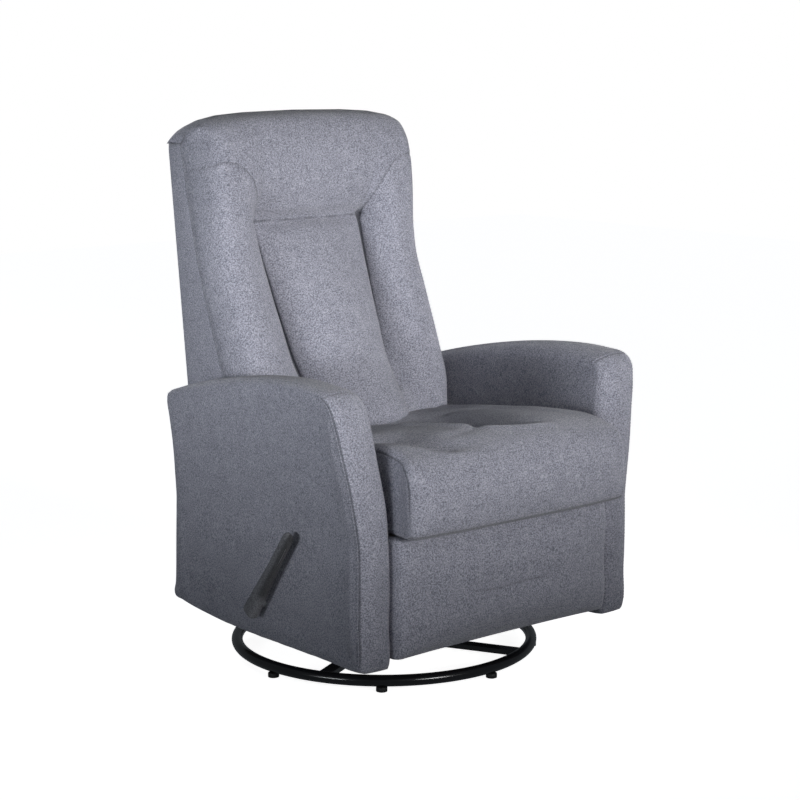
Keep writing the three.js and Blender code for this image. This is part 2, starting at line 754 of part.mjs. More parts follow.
// Rings across the arm: the padding rolls over its inner and its outer edge
const armAcrossShares = [0, 0.1, 0.3, 0.7, 0.93, 1];
const armInnerRollShares = [1, 0.35, 0, 0, 0, 0];
const armOuterRollShares = [0, 0, 0, 0, 0.3, 1];
function armRings(sign) {
  return armAcrossShares.map((acrossShare, station) => {
    const innerRoll = armRoundInner * armInnerRollShares[station];
    const outerRoll = armRoundOuter * armOuterRollShares[station];
    return inset(armOutline, -innerRoll - outerRoll).map(([forward, height]) => {
      const place = [forward, Math.max(height, armFootHeight)];
      const inner = armInnerHalf + armFlare(place, armFlareInner, armFlareInnerPower);
      const outer = armOuterHalf + armFlare(place, armFlareOuter, armFlareOuterPower);
      return [sign * THREE.MathUtils.lerp(inner, outer, acrossShare), -place[0], place[1]];
    });
  });
}

const armBoardInner = armInnerHalf + armBoardWall;
const armBoardOuter = armBoardInner + armBoardThickness;
const armBoardTop = armFootHeight + armBoardRise;
const armBoardFront = armFrontForward - armBoardMargin;
const armBoardRear = armDepth - armFrontForward - armBoardMargin;
for (const [side, sign] of sides) {
  const [x0, x1] = [sign * armBoardInner, sign * armBoardOuter].sort((a, b) => a - b);
  const wood = boxBetween(
    [x0, -armBoardFront, armFootHeight + restGap],
    [x1, armBoardRear, armBoardTop],
  );
  const pocket = boxBetween(
    [x0 - restGap, -armBoardFront - restGap, armFootHeight - overrun],
    [x1 + restGap, armBoardRear + restGap, armBoardTop + restGap],
  );
  const isLeverSide = sign < 0;
  const shaftWay = barAlongX(
    sign * (armInnerHalf - overrun),
    sign * (armOuterHalf + overrun),
    leverPivot,
    leverShaftRadius + sleeveGap,
  );
  const padCuts = isLeverSide ? [pocket, shaftWay] : [pocket];
  addMesh(`arm_pad_${side}`, cut(loft(armRings(sign), true), ...padCuts), fabric);
  const woodPiece = isLeverSide ? cut(wood, shaftWay) : wood;
  addMesh(`arm_board_${side}`, woodPiece, board);
}

// Seat cushion. The side profile is a table of shares of the reach from rear to front and of the rise
// from the seat board to the top of the front roll
const seatLow = seatBoardTop + restGap;
const seatDepth = seatFront + seatRear;
const seatRise = seatTopHeight - seatLow;
const seatTopShares = [
  [0, 0.64], [0.05, 0.67], [0.14, 0.73], [0.26, 0.8], [0.38, 0.87], [0.5, 0.92], [0.6, 0.955],
  [0.68, 0.975], [0.76, 0.985], [0.84, 0.985], [0.9, 0.95], [0.95, 0.88], [0.98, 0.75], [0.995, 0.6],
  [1, 0.42], [0.998, 0.25], [0.985, 0.135],
];
const seatUnderShares = [[0.95, 0], [0.8, 0], [0.72, 0], [0.4, 0], [0.1, 0], [0.005, 0], [0, 0.3]];
const seatStationShares = [
  -1, -0.985, -0.95, -0.87, -0.7, -0.45, -0.2, 0, 0.2, 0.45, 0.7, 0.87, 0.95, 0.985, 1,
];
const seatTopSteps = 24;
const seatProfile = smooth(seatTopShares, seatTopSteps).concat(seatUnderShares);
const seatUnderLift = seatFrontUnderside - seatLow;
const seatRings = seatStationShares.map((stationShare) => {
  const x = seatHalf * stationShare;
  const edge = Math.abs(stationShare) ** 12;
  const crown = seatCrown * (1 - stationShare ** 2);
  return seatProfile.map(([reachShare, riseShare]) => {
    const forward = -seatRear + seatDepth * reachShare;
    let height = seatLow + seatRise * riseShare;
    const isTop = riseShare > 0.5;
    const valley = Math.exp(-(((forward - seatValleyForward) / seatValleyWidth) ** 2));
    const tuft = 1 - seatTuftShare * (1 - Math.exp(-((x / seatTuftWidth) ** 2)));
    if (isTop) height += crown - seatValleyDepth * valley * tuft;
    const under = THREE.MathUtils.smoothstep(reachShare, seatUnderFrontShare, 1);
    if (riseShare <= 0) height += seatUnderLift * under;
    const middleHeight = seatLow + seatRise / 2;
    const middleForward = (seatFront - seatRear) / 2;
    const pull = edge * seatEdgeRound;
    const inForward = THREE.MathUtils.clamp(forward - middleForward, -pull, pull);
    const inHeight = THREE.MathUtils.clamp(height - middleHeight, -pull, pull);
    const swell = THREE.MathUtils.smoothstep(forward, armFrontForward + armRoundInner / 2, seatFront);
    const wide = x + seatRollOverhang * stationShare * swell;
    return [wide, -(forward - inForward), Math.max(height - inHeight, seatLow)];
  });
});
addMesh("seat_cushion", loft(seatRings), fabric);

// Footrest board and pad
const footrestBoardHalf = layer(3).outer;
const footrestBoard = boxBetween(
  [-footrestBoardHalf, -(boardRearForward + footrestBoardThickness), footrestLow + footrestBoardMargin],
  [footrestBoardHalf, -boardRearForward, footrestHigh - footrestBoardMargin],
);
addMesh("footrest_board", footrestBoard, board);
const padRear = boardRearForward + footrestBoardThickness + restGap;
const padDepth = footrestFront - padRear;
const padRise = footrestHigh - footrestLow;
const padFrontShares = [0, 0.03, 0.1, 0.22, 0.36, 0.44, 0.5, 0.56, 0.7, 0.85, 0.95, 0.99, 1];
const padRearShares = [1, 0.75, 0.5, 0.25, 0];
const padStationShares = [-1, -0.985, -0.94, -0.8, -0.5, -0.2, 0, 0.2, 0.5, 0.8, 0.94, 0.985, 1];
const padRings = padStationShares.map((stationShare) => {
  const x = footrestHalf * stationShare;
  const edge = Math.abs(stationShare) ** 16 * footrestRound;
  const front = padFrontShares.map((riseShare) => {
    const fromMiddle = 2 * riseShare - 1;
    const roll = footrestRound * Math.abs(fromMiddle) ** 14;
    const crown = footrestCrown * (1 - fromMiddle ** 2) * (1 - stationShare ** 2);
    const height = footrestLow + padRise * riseShare;
    const offset = (height - (footrestLow + padRise / 2)) / footrestCreaseWidth;
    const crease = footrestCreaseDepth * Math.exp(-(offset ** 2)) * (1 - stationShare ** 2);
    const inward = THREE.MathUtils.clamp((padRise * fromMiddle) / 2, -edge, edge);
    return [x, -(padRear + padDepth - footrestCrown - roll + crown - crease - edge), height - inward];
  });
  const rear = padRearShares.map((riseShare) => {
    const fromMiddle = 2 * riseShare - 1;
    const inward = THREE.MathUtils.clamp((padRise * fromMiddle) / 2, -edge, edge);
    return [x, -padRear, footrestLow + padRise * riseShare - inward];
  });
  return [...front, ...rear];
});
addMesh("footrest_pad", loft(padRings), fabric);

// Rear valance, a padded board between the arms
const valance = boxBetween(
  [-sidePlateOuter, valanceRear - valanceThickness, valanceLow],
  [sidePlateOuter, valanceRear, valanceHigh],
);
addMesh("rear_valance", valance, fabric);

// Back, built in its leaning frame: depth grows rearward, height runs along the back
backGroup.position.set(0, -hingeForward, hingeHeight);
backGroup.rotation.x = -THREE.MathUtils.degToRad(backLean);
const panelInner = backRearFace - backPanelThickness;
const frameRear = panelInner - restGap;
const frameFront = frameRear - backFrameDepth;
for (const [side, sign] of sides) {
  const outer = sign * backUprightHalf;
  const [x0, x1] = [outer, outer - sign * backUprightWidth].sort((a, b) => a - b);
  const upright = boxBetween([x0, frameFront, backFrameLow], [x1, frameRear, backFrameTop]);
  addMesh(`back_upright_${side}`, upright, board, backGroup);
}
const railHalf = backUprightHalf - backUprightWidth - restGap;
for (const [end, low] of [["top", backFrameTop - backRailHeight], ["bottom", backFrameLow]]) {
  const rail = boxBetween([-railHalf, frameFront, low], [railHalf, frameRear, low + backRailHeight]);
  addMesh(`back_rail_${end}`, rail, board, backGroup);
}
const rearPanel = boxBetween(
  [-backHalf, panelInner, backFrameLow],
  [backHalf, backRearFace, backFrameTop],
);
addMesh("back_rear_panel", rearPanel, fabric, backGroup);

// Side panels of the back, whose front edge follows the sewn seam
const panelLow = backFrameLow;
const panelNotch = panelNotchHeight - panelLow;
const panelRise = backFrameTop - panelNotchHeight;
const seamReach = backCushionDepth / 2 + backRearFace;
const notchShares = [[0, 0.517], [1, 0.287]]; // of the height to the notch and of the seam's reach
const seamShares = [
  [0, 0.029], [0.14, 0.184], [0.3, 0.333], [0.46, 0.454], [0.62, 0.552], [0.775, 0.626],
  [0.93, 0.678], [1, 0.7],
];
const seamForward = (share) => backCushionDepth / 2 - seamReach * share;
for (const [side, sign] of sides) {
  const notch = notchShares.map(([rise, reach]) => [seamForward(reach), panelLow + panelNotch * rise]);
  const seam = seamShares.map(([rise, reach]) => [seamForward(reach), panelNotchHeight + panelRise * rise]);
  const rearEdge = -(panelInner - restGap);
  const corners = [[rearEdge, panelLow], ...notch, ...seam, [rearEdge, backFrameTop]];
  const panel = sidePlate(corners, sign * backHalf, sign * (backHalf - backPanelThickness));
  const pinWay = barAlongX(
    sign * (backHalf - backPanelThickness - overrun),
    sign * (backHalf + overrun),
    [0, 0],
    hingePinRadius + sleeveGap,
  );
  addMesh(`back_side_panel_${side}`, cut(panel, pinWay), fabric, backGroup);
}

// Back cushion. Its front is read from shares of the cushion's depth at heights along the back, at the
// middle, in the sewn valley, on the bolster and at the side edge
const backHeightShares = [0, 0.04, 0.1, 0.2, 0.3, 0.42, 0.54, 0.66, 0.74, 0.84, 0.93, 0.975, 1];
const backMiddleShares = [0.84, 0.94, 0.915, 0.79, 0.65, 0.515, 0.39, 0.275, 0.36, 0.42, 0.34, 0.19, 0.03];
const backValleyShares = [0.68, 0.66, 0.56, 0.45, 0.355, 0.245, 0.14, 0.13, 0.32, 0.41, 0.33, 0.18, 0.02];
const backBolsterShares = [0.66, 0.74, 0.74, 0.69, 0.61, 0.51, 0.41, 0.4, 0.41, 0.42, 0.33, 0.17, 0.02];
const backEdgeShares = [
  0.42, 0.4, 0.355, 0.26, 0.175, 0.09, 0.02, -0.035, -0.07, -0.1, -0.12, -0.14, -0.18,
];
const backStations = [
  -1, -0.985, -0.94, -0.86, -0.77, -0.64, -0.53, -0.47, -0.38, -0.22, 0,
  0.22, 0.38, 0.47, 0.53, 0.64, 0.77, 0.86, 0.94, 0.985, 1,
];
const backSeamShare = backSeamHalf / backCushionHalf;
const backBolsterShare = backBolsterHalf / backCushionHalf;
function backFront(stationShare, heightShare) {
  const place = Math.abs(stationShare);
  const tables = [backMiddleShares, backValleyShares, backBolsterShares, backEdgeShares];
  const [middle, valley, bolster, edge] = tables.map((shares) =>
    readShares(backHeightShares, shares, heightShare));
  const toSeam = THREE.MathUtils.smoothstep(place, 0, backSeamShare);
  if (place < backSeamShare) return THREE.MathUtils.lerp(middle, valley, toSeam);
  const toBolster = THREE.MathUtils.smoothstep(place, backSeamShare, backBolsterShare);
  if (place < backBolsterShare) return THREE.MathUtils.lerp(valley, bolster, toBolster);
  const out = (place - backBolsterShare) / (1 - backBolsterShare);
  return THREE.MathUtils.lerp(bolster, edge, 1 - Math.sqrt(Math.max(0, 1 - out ** 4)));
}
const cushionRear = frameFront - restGap;
const wrapLow = backFrameTop + restGap;
const backRings = backStations.map((stationShare) => {
  const x = backCushionHalf * stationShare;
  const outward = (Math.abs(x) - backCornerStart) / (backCushionHalf - backCornerStart);
  const fall = 1 - Math.sqrt(1 - THREE.MathUtils.clamp(outward, 0, 1) ** 2);
  const drop = backTopCrown * stationShare ** 2 + backCornerDrop * fall;
  const crownTop = Math.max(backCushionTop - drop, wrapLow + backLipHeight);
  const rearRound = Math.min(backEdgeRound, crownTop - wrapLow) / 3;
  const rise = crownTop - backCushionLow;
  const front = backHeightShares.map((heightShare) =>
    [x, -backCushionDepth * backFront(stationShare, heightShare), backCushionLow + rise * heightShare]);
  const wrapTop = (crownTop + wrapLow) / 2;
  const rear = [
    [x, (frameFront + cushionRear) / 3, crownTop - restGap],
    [x, backRearFace - rearRound, crownTop - rearRound],
    [x, backRearFace - restGap, wrapTop],
    [x, backRearFace - restGap, wrapLow],
    [x, cushionRear, wrapLow],
    [x, cushionRear, (backCushionLow + wrapLow) / 2],
    [x, cushionRear, backCushionLow],
  ];
  return [...front, ...rear];
});
addMesh("back_cushion", loft(backRings), fabric, backGroup);

// Hinge brackets, which stand outside the back frame and turn in the ears of the side plates
for (const [side, sign] of sides) {
  const inner = backUprightHalf + restGap;
  const outer = inner + hingeBracketThickness;
  const earRadius = hingeEarWidth / 2;
  const bracketLow = backFrameLow + restGap;
  const corners = [[-frameRear, bracketLow], [-frameFront, bracketLow], [earRadius, -earRadius]];
  corners.push([earRadius, earRadius], [-frameFront, hingeBracketHeight - earRadius]);
  corners.push([-frameFront, hingeBracketHeight], [-frameRear, hingeBracketHeight]);
  const plate = sidePlate(corners, sign * outer, sign * inner);
  const pin = barAlongX(sign * inner, sign * layer(0).outer, [0, 0], hingePinRadius);
  addMesh(`back_hinge_${side}`, joined(plate, pin), steel, backGroup);
}

// Under the middle of the chair, front to rear
part.updateMatrixWorld(true);
const reach = new THREE.Box3().setFromObject(part, true);
part.position.y = -(reach.min.y + reach.max.y) / 2;

export default part;
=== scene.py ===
import json
import math
import bpy
import numpy as np
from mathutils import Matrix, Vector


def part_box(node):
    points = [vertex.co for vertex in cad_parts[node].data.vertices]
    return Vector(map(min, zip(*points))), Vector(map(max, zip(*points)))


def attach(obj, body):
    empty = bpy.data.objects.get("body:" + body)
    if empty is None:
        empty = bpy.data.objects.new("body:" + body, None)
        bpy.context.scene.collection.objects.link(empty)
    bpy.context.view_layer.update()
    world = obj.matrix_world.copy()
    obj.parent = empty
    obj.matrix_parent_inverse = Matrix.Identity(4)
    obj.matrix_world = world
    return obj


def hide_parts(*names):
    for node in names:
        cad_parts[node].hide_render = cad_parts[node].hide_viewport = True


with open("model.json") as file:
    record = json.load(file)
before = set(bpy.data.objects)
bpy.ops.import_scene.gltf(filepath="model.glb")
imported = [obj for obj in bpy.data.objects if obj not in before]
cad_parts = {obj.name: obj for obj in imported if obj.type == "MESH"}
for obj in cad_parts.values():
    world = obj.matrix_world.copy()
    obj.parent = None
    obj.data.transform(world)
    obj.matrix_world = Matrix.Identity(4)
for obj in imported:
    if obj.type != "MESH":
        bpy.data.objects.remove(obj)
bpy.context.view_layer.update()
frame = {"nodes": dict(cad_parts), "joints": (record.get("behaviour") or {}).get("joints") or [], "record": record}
print("stage: frame loaded")

# Metres. "Forward" is a distance from the swivel axis towards -Y, and the user's left is +X.
jointPlace = {joint["name"]: joint.get("pos_m") for joint in frame["joints"]}
axisY = jointPlace["swivel"][1]
sides = {"left": 1, "right": -1}


def nodeBox(name):
    low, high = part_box(name)
    return np.array(low), np.array(high)


# Curves and tables

def cubic(t, start, end, startRise, endRise):
    # Cubic piece between two values, with the rise that each end's slope would give over the whole piece
    return ((2 * t**3 - 3 * t**2 + 1) * start + (t**3 - 2 * t**2 + t) * startRise
            + (3 * t**2 - 2 * t**3) * end + (t**3 - t**2) * endRise)


def readTable(places, values, at):
    # Smooth reading of a table: cubic pieces whose slopes are the harmonic mean of the rises on both sides,
    # so nothing overshoots a row
    places, values, at = (np.asarray(a, float) for a in (places, values, at))
    step, rise = np.diff(places), np.diff(values) / np.diff(places)
    slope = np.zeros(len(values))
    product = rise[:-1] * rise[1:]
    total = np.where(product > 0, rise[:-1] + rise[1:], 1)
    slope[1:-1] = np.where(product > 0, 2 * product / total, 0)
    slope[0], slope[-1] = rise[0], rise[-1]
    k = np.clip(np.searchsorted(places, at, side="right") - 1, 0, len(step) - 1)
    t = np.clip((at - places[k]) / step[k], 0, 1)
    return cubic(t, values[k], values[k + 1], step[k] * slope[k], step[k] * slope[k + 1])


def throughPoints(points, closed=False, fine=16):
    # Cubic pieces through the points; the slope at a point mixes its two chords by their lengths
    points = np.asarray(points, float)
    if closed:
        around = np.concatenate([points[-1:], points, points[:2]])
    else:
        around = np.concatenate([2 * points[:1] - points[1:2], points, 2 * points[-1:] - points[-2:-1]])
    chord = np.diff(around, axis=0)
    length = np.maximum(np.linalg.norm(chord, axis=1, keepdims=True), 1e-9)
    unit = chord / length
    slope = (unit[:-1] * length[1:] + unit[1:] * length[:-1]) / (length[:-1] + length[1:])
    t = (np.arange(fine) / fine)[None, :, None]
    h = length[1:-1, None]
    curve = cubic(t, around[1:-2, None], around[2:-1, None], slope[:-1, None] * h, slope[1:, None] * h)
    curve = curve.reshape(-1, points.shape[1])
    return curve if closed else np.concatenate([curve, points[-1:]])


def runLength(points, axis=0):
    # Length gone from the first point to each one; in a grid, the mean of all its lines along the axis
    steps = np.linalg.norm(np.diff(points, axis=axis), axis=-1)
    return np.concatenate([[0], np.cumsum(steps if steps.ndim == 1 else steps.mean(1 - axis))])


def readAlong(curve, gone, at):
    # Points of a curve at lengths along it
    return np.stack([np.interp(at, gone, curve[:, axis]) for axis in range(curve.shape[1])], -1)


def alongCurve(curve, shares, closed=False):
    # Points at shares of the curve's length
    curve = np.concatenate([curve, curve[:1]]) if closed else curve
    gone = runLength(curve)
    return readAlong(curve, gone, np.asarray(shares) * gone[-1])


def nearestShare(curve, point):
    # Share of a closed curve's length at the place nearest to a point
    ring = np.concatenate([curve, curve[:1]])
    gone = runLength(ring)
    return gone[np.argmin(np.linalg.norm(ring - np.asarray(point), axis=1))] / gone[-1]


def refined(shares, near, reach=0.006, count=9):
    # A row of shares with a few more of them close round each place where there is a seam
    rows = [np.asarray(shares)] + [place + np.linspace(-reach, reach, count) for place in near]
    return np.unique(np.round(np.concatenate(rows) % 1.0, 6))


def smoothStep(low, high, at):
    # 0 up to the low value, 1 from the high one, and a cubic between them
    t = np.clip((at - low) / (high - low), 0, 1)
    return t * t * (3 - 2 * t)


def bell(distance, width):
    # e to the power of minus the square of distance over width
    return np.exp(-(distance / width) ** 2)


def distanceTo(path, x, y):
    # Least distance in a plane from each point to a path of straight pieces
    best = np.full(np.shape(x), 1e3)
    for (ax, ay), (bx, by) in zip(path[:-1], path[1:]):
        dx, dy = bx - ax, by - ay
        t = np.clip(((x - ax) * dx + (y - ay) * dy) / (dx * dx + dy * dy), 0, 1)
        best = np.minimum(best, np.hypot(x - ax - t * dx, y - ay - t * dy))
    return best


def pressedLines(lines, x, y):
    # Sum of soft lines in a plane, each with its depth, its width and its path
    return sum(depth * bell(distanceTo(path, x, y), width) for depth, width, path in lines)


def rangeMask(risesFrom, risesTo, fallsFrom, fallsTo, at):
    # Rises from 0 to 1 over the first range and falls back to 0 over the second
    return smoothStep(risesFrom, risesTo, at) * (1 - smoothStep(fallsFrom, fallsTo, at))


# Surfaces

def outwardNormals(grid):
    # Unit cross product of the differences round and along the rings, turned away from the grid's middle
    around = np.roll(grid, -1, axis=1) - np.roll(grid, 1, axis=1)
    normal = np.cross(around, np.gradient(grid, axis=0))
    normal = normal / np.maximum(np.linalg.norm(normal, axis=2, keepdims=True), 1e-12)
    return normal if (normal * (grid - grid.mean((0, 1)))).sum() > 0 else -normal


def gridFaces(rows, columns, wraps=True, capped=True):
    # Quads of a grid, which may close round its columns, and a fan at each end round one more point
    place = np.arange(rows * columns).reshape(rows, columns)
    nextPlace = np.roll(place, -1, axis=1)
    if not wraps:
        place, nextPlace = place[:, :-1], nextPlace[:, :-1]
    quads = np.stack([place[:-1], nextPlace[:-1], nextPlace[1:], place[1:]], -1).reshape(-1, 4)
    fans = np.empty((0, 3), int)
    if capped:
        ring = np.arange(columns)
        after = np.roll(ring, -1)
        first, last = rows * columns, rows * columns + 1
        top = (rows - 1) * columns
        fans = np.concatenate([
            np.stack([np.full(columns, first), after, ring], -1),
            np.stack([np.full(columns, last), top + ring, top + after], -1)])
    return quads, fans


noFans = np.empty((0, 3), int)


def signedVolume(points, quads, fans):
    # Sum of the signed tetrahedra between the origin and each triangle
    triangles = np.concatenate([quads[:, [0, 1, 2]], quads[:, [0, 2, 3]], fans])
    a, b, c = (points[triangles[:, n]] for n in range(3))
    return np.einsum("ij,ij->i", a, np.cross(b, c)).sum() / 6


def facingOut(points, quads, fans):
    # Faces turned outwards: their order is reversed where the enclosed volume comes out negative
    way = -1 if signedVolume(points, quads, fans) < 0 else 1
    return quads[:, ::way], fans[:, ::way], way


def bareMesh(name, points, quads, fans=noFans):
    mesh = bpy.data.meshes.new(name)
    mesh.from_pydata(points.tolist(), [], quads.tolist() + fans.tolist())
    return mesh


def placed(name, data):
    thing = bpy.data.objects.new(name, data)
    bpy.context.scene.collection.objects.link(thing)
    return thing


def meshOf(name, points, quads, fans, uvs=None, shades=None):
    # One smooth piece from arrays, with its cloth UVs and the painted shade of its seams, creases and contacts
    quads, fans, way = facingOut(points, quads, fans)
    mesh = bareMesh(name, points, quads, fans)
    mesh.polygons.foreach_set("use_smooth", [True] * len(mesh.polygons))
    if uvs is not None:
        layer = mesh.uv_layers.new(name="cloth")
        layer.data.foreach_set("uv", np.concatenate([uv[:, ::way].reshape(-1, 2) for uv in uvs]).ravel())
    if shades is not None:
        # The "seam" attribute holds painted shade: how far each point is darkened towards the seam colour
        layer = mesh.attributes.new("seam", "FLOAT", "POINT")
        layer.data.foreach_set("value", np.asarray(shades, np.float32))
    mesh.update()
    return placed(name, mesh)


def ringBody(grid):
    # Points and faces of a closed body from rings of points, with a point in the middle of each end
    points = np.concatenate([grid.reshape(-1, 3), grid[0].mean(0)[None], grid[-1].mean(0)[None]])
    return (points, *gridFaces(*grid.shape[:2]))


def clothUvs(grid):
    # UVs of the quads between rings, in metres: the length round a ring and the length across the rings
    around = np.concatenate([grid, grid[:, :1]], axis=1)
    uv = np.stack(np.meshgrid(runLength(around, 1), runLength(grid)), -1)
    return np.stack([uv[:-1, :-1], uv[:-1, 1:], uv[1:, 1:], uv[1:, :-1]], 2).reshape(-1, 4, 2)


def closedPiece(name, grid, shade):
    points, quads, fans = ringBody(grid)
    shades = np.concatenate([shade.ravel(), [0, 0]])
    return meshOf(name, points, quads, fans, (clothUvs(grid), points[fans][:, :, 1:]), shades)


def wallPiece(name, grid, shade, inner):
    # Rings of a long thin wall, each ending with a few points of its inner line, right to left. The two open
    # ends are closed by bands that join each outer point to the nearest inner one
    rows, columns = grid.shape[:2]
    points = grid.reshape(-1, 3)
    quads, _ = gridFaces(rows, columns, capped=False)
    outerCount = columns - inner
    order = np.arange(outerCount, columns)[::-1]
    ends = []
    for row in (0, rows - 1):
        base, ring = row * columns, grid[row]
        nearest = [order[np.argmin(np.linalg.norm(ring[order] - point, axis=1))]
                   for point in ring[:outerCount]]
        for n in range(outerCount - 1):
            a, b, c, d = n, n + 1, nearest[n + 1], nearest[n]
            for face in [[a, b, c]] if c == d else [[a, b, c], [a, c, d]]:
                ends.append([base + i for i in (face[::-1] if row else face)])
    fans = np.array(ends)[:, ::-1]
    return meshOf(name, points, quads, fans, (clothUvs(grid), points[fans][:, :, :2]), shade.ravel())


def sheetPiece(name, grid, thick):
    # A grid of points moved half the cloth's thickness to either side, and joined round its rim
    rows, columns = grid.shape[:2]
    normal = np.cross(np.gradient(grid, axis=0), np.gradient(grid, axis=1))
    normal *= thick / 2 / np.linalg.norm(normal, axis=2, keepdims=True)
    points = np.concatenate([(grid + normal).reshape(-1, 3), (grid - normal).reshape(-1, 3)])
    place, count = np.arange(rows * columns).reshape(rows, columns), rows * columns
    face = np.stack([place[:-1, :-1], place[1:, :-1], place[1:, 1:], place[:-1, 1:]], -1).reshape(-1, 4)
    rim = np.concatenate([place[0, :-1], place[:-1, -1], place[-1, :0:-1], place[:0:-1, 0]])
    after = np.roll(rim, -1)
    edge = np.stack([rim, after, after + count, rim + count], -1)
    quads = np.concatenate([face, face[:, ::-1] + count, edge])
    uv = np.tile(np.stack(np.meshgrid(runLength(grid, 1), runLength(grid)), -1).reshape(-1, 2), (2, 1))
    return meshOf(name, points, quads, noFans, (uv[quads], np.empty((0, 3, 2))), np.zeros(len(points)))


def joinedPiece(name, parts):
    # Several closed bodies (points, quads, fans) as one mesh
    points, quads, fans, count = [], [], [], 0
    for partPoints, partQuads, partFans in parts:
        partQuads, partFans, _ = facingOut(partPoints, partQuads, partFans)
        points.append(partPoints)
        quads.append(partQuads + count)
        fans.append(partFans + count)
        count += len(partPoints)
    return meshOf(name, np.concatenate(points), np.concatenate(quads), np.concatenate(fans))


def sweep(path, normal, radius, sides):
    # Circles round a path, square to it, each with its own radius
    tangent = np.gradient(path, axis=0)
    tangent /= np.linalg.norm(tangent, axis=1, keepdims=True)
    across = np.cross(tangent, np.broadcast_to(normal, path.shape))
    across /= np.linalg.norm(across, axis=1, keepdims=True)
    up = np.cross(across, tangent)
    angle = (2 * np.pi * np.arange(sides) / sides)[None, :, None]
    radius = radius[:, None, None]
    return path[:, None] + across[:, None] * np.cos(angle) * radius + up[:, None] * np.sin(angle) * radius


# Shader maths

class Value:
    # One shader socket; operators on it add Math nodes
    def __init__(self, finish, socket):
        self.finish, self.socket = finish, socket

    def combine(self, operation, *values):
        return self.finish.node("ShaderNodeMath", {"operation": operation}, dict(enumerate(values)))

    def __add__(self, other): return self.combine("ADD", self, other)
    def __mul__(self, other): return self.combine("MULTIPLY", self, other)
    def sine(self): return self.combine("SINE", self)
    __radd__, __rmul__ = __add__, __mul__


class Finish:
    # A material whose nodes are added by one method: type, settings, then socket values or links
    def __init__(self, name, viewColour):
        self.material = bpy.data.materials.new(name)
        self.material.use_nodes = True
        self.material.diffuse_color = (*viewColour, 1)
        self.tree = self.material.node_tree
        self.tree.nodes.clear()

    def node(self, kind, settings=None, inputs=None, output=0):
        node = self.tree.nodes.new(kind)
        for key, value in (settings or {}).items():
            if key == "stops":
                ramp = node.color_ramp
                while len(ramp.elements) < len(value):
                    ramp.elements.new(0.5)
                for element, (position, colour) in zip(ramp.elements, value):
                    element.position, element.color = position, colour
            else:
                setattr(node, key, value)
        for key, value in (inputs or {}).items():
            if isinstance(value, Value):
                self.tree.links.new(value.socket, node.inputs[key])
            else:
                node.inputs[key].default_value = value
        return Value(self, node.outputs[output]) if len(node.outputs) else None

    def place(self):
        return self.node("ShaderNodeTexCoord", output="Object")

    def cloth(self):
        return self.node("ShaderNodeUVMap", {"uv_map": "cloth"})

    def noise(self, vector, scale, detail=2.0, roughness=0.5):
        return self.node("ShaderNodeTexNoise", {"noise_dimensions": "3D"},
                         {"Vector": vector, "Scale": scale, "Detail": detail, "Roughness": roughness})

    def ramp(self, value, stops):
        grey = [(p, c if isinstance(c, tuple) else (c, c, c, 1)) for p, c in stops]
        return self.node("ShaderNodeValToRGB", {"stops": grey}, {"Fac": value})

    def mix(self, factor, first, second, blend="MIX"):
        # Sockets 6 and 7 of a colour Mix node are its two colours, and output 2 is the mixed one
        return self.node("ShaderNodeMix", {"data_type": "RGBA", "blend_type": blend},
                         {0: factor, 6: first, 7: second}, output=2)

    def bump(self, height, strength, distance):
        return self.node("ShaderNodeBump", None,
                         {"Height": height, "Strength": strength, "Distance": distance})

    def surface(self, inputs):
        shader = self.node("ShaderNodeBsdfPrincipled", None, inputs)
        self.node("ShaderNodeOutputMaterial", None, {"Surface": shader})
        return self.material


def rgb(red, green, blue):
    return (red, green, blue, 1.0)


upholstery = {
    "light": rgb(0.318, 0.318, 0.372), "middle": rgb(0.20, 0.203, 0.245), "dark": rgb(0.084, 0.088, 0.113),
    # The seam colour is painted shade: it is mixed in where the "seam" attribute marks seam grooves, creases and
    # contact lines
    "fleck": rgb(0.45, 0.45, 0.51), "seam": rgb(0.02, 0.021, 0.026),
    # Noises as scale, detail and roughness, and where the yarns' colours lie in their mix
    "melt": (400, 3.0, 0.65), "fibre": (1000, 2.0, 0.6), "patch": (40, 3.0, 0.55),
    "stops": (0.385, 0.47, 0.54, 0.64), "weaveShade": 0.22, "seamShade": 0.8, "relief": (0.5, 0.0012),
    "thread": 0.0013, "roughness": 0.93, "sheen": 0.2, "sheenRoughness": 0.5,
}


def fabricFinish(name, look):
    # Melange: noise at the size of a few threads picks between dark, middle and light yarn, and crossed
    # sine waves along the cloth's own UVs give the plain weave
    finish = Finish(name, look["middle"][:3])
    place = finish.place()
    melt, fibre, patch = (finish.noise(place, *look[key]) for key in ("melt", "fibre", "patch"))
    mixed = melt * 0.66 + fibre * 0.26 + patch * 0.08
    yarns = [look[key] for key in ("dark", "middle", "light", "fleck")]
    yarn = finish.ramp(mixed, list(zip(look["stops"], yarns)))
    parts = finish.node("ShaderNodeSeparateXYZ", None, {"Vector": finish.cloth()}).socket.node
    turn = 2 * math.pi / look["thread"]
    along, across = ((Value(finish, parts.outputs[n]) * turn).sine() for n in (0, 1))
    weave = along * across * 0.5 + 0.5
    # The "seam" attribute is painted shade: it darkens the cloth towards the seam colour in grooves, creases,
    # contacts and on the lever's shaded side
    seam = finish.node("ShaderNodeAttribute", {"attribute_name": "seam"}, None, "Fac")
    shaded = finish.mix(weave * look["weaveShade"], yarn, look["dark"])
    colour = finish.mix(seam * look["seamShade"], shaded, look["seam"])
    normal = finish.bump(weave * 0.5 + mixed, *look["relief"])
    return finish.surface({"Base Color": colour, "Roughness": look["roughness"], "Normal": normal,
                           "Sheen Weight": look["sheen"], "Sheen Roughness": look["sheenRoughness"]})


# The lever's cloth: its seam colour is painted shade, laid on the sleeve's seam and on its side turned away from
# the light
leverCloth = dict(upholstery, light=rgb(0.150, 0.151, 0.165), middle=rgb(0.092, 0.093, 0.104),
                  dark=rgb(0.050, 0.051, 0.058), fleck=rgb(0.20, 0.201, 0.215), seam=rgb(0.004, 0.004, 0.005),
                  roughness=0.85, sheen=0.1)


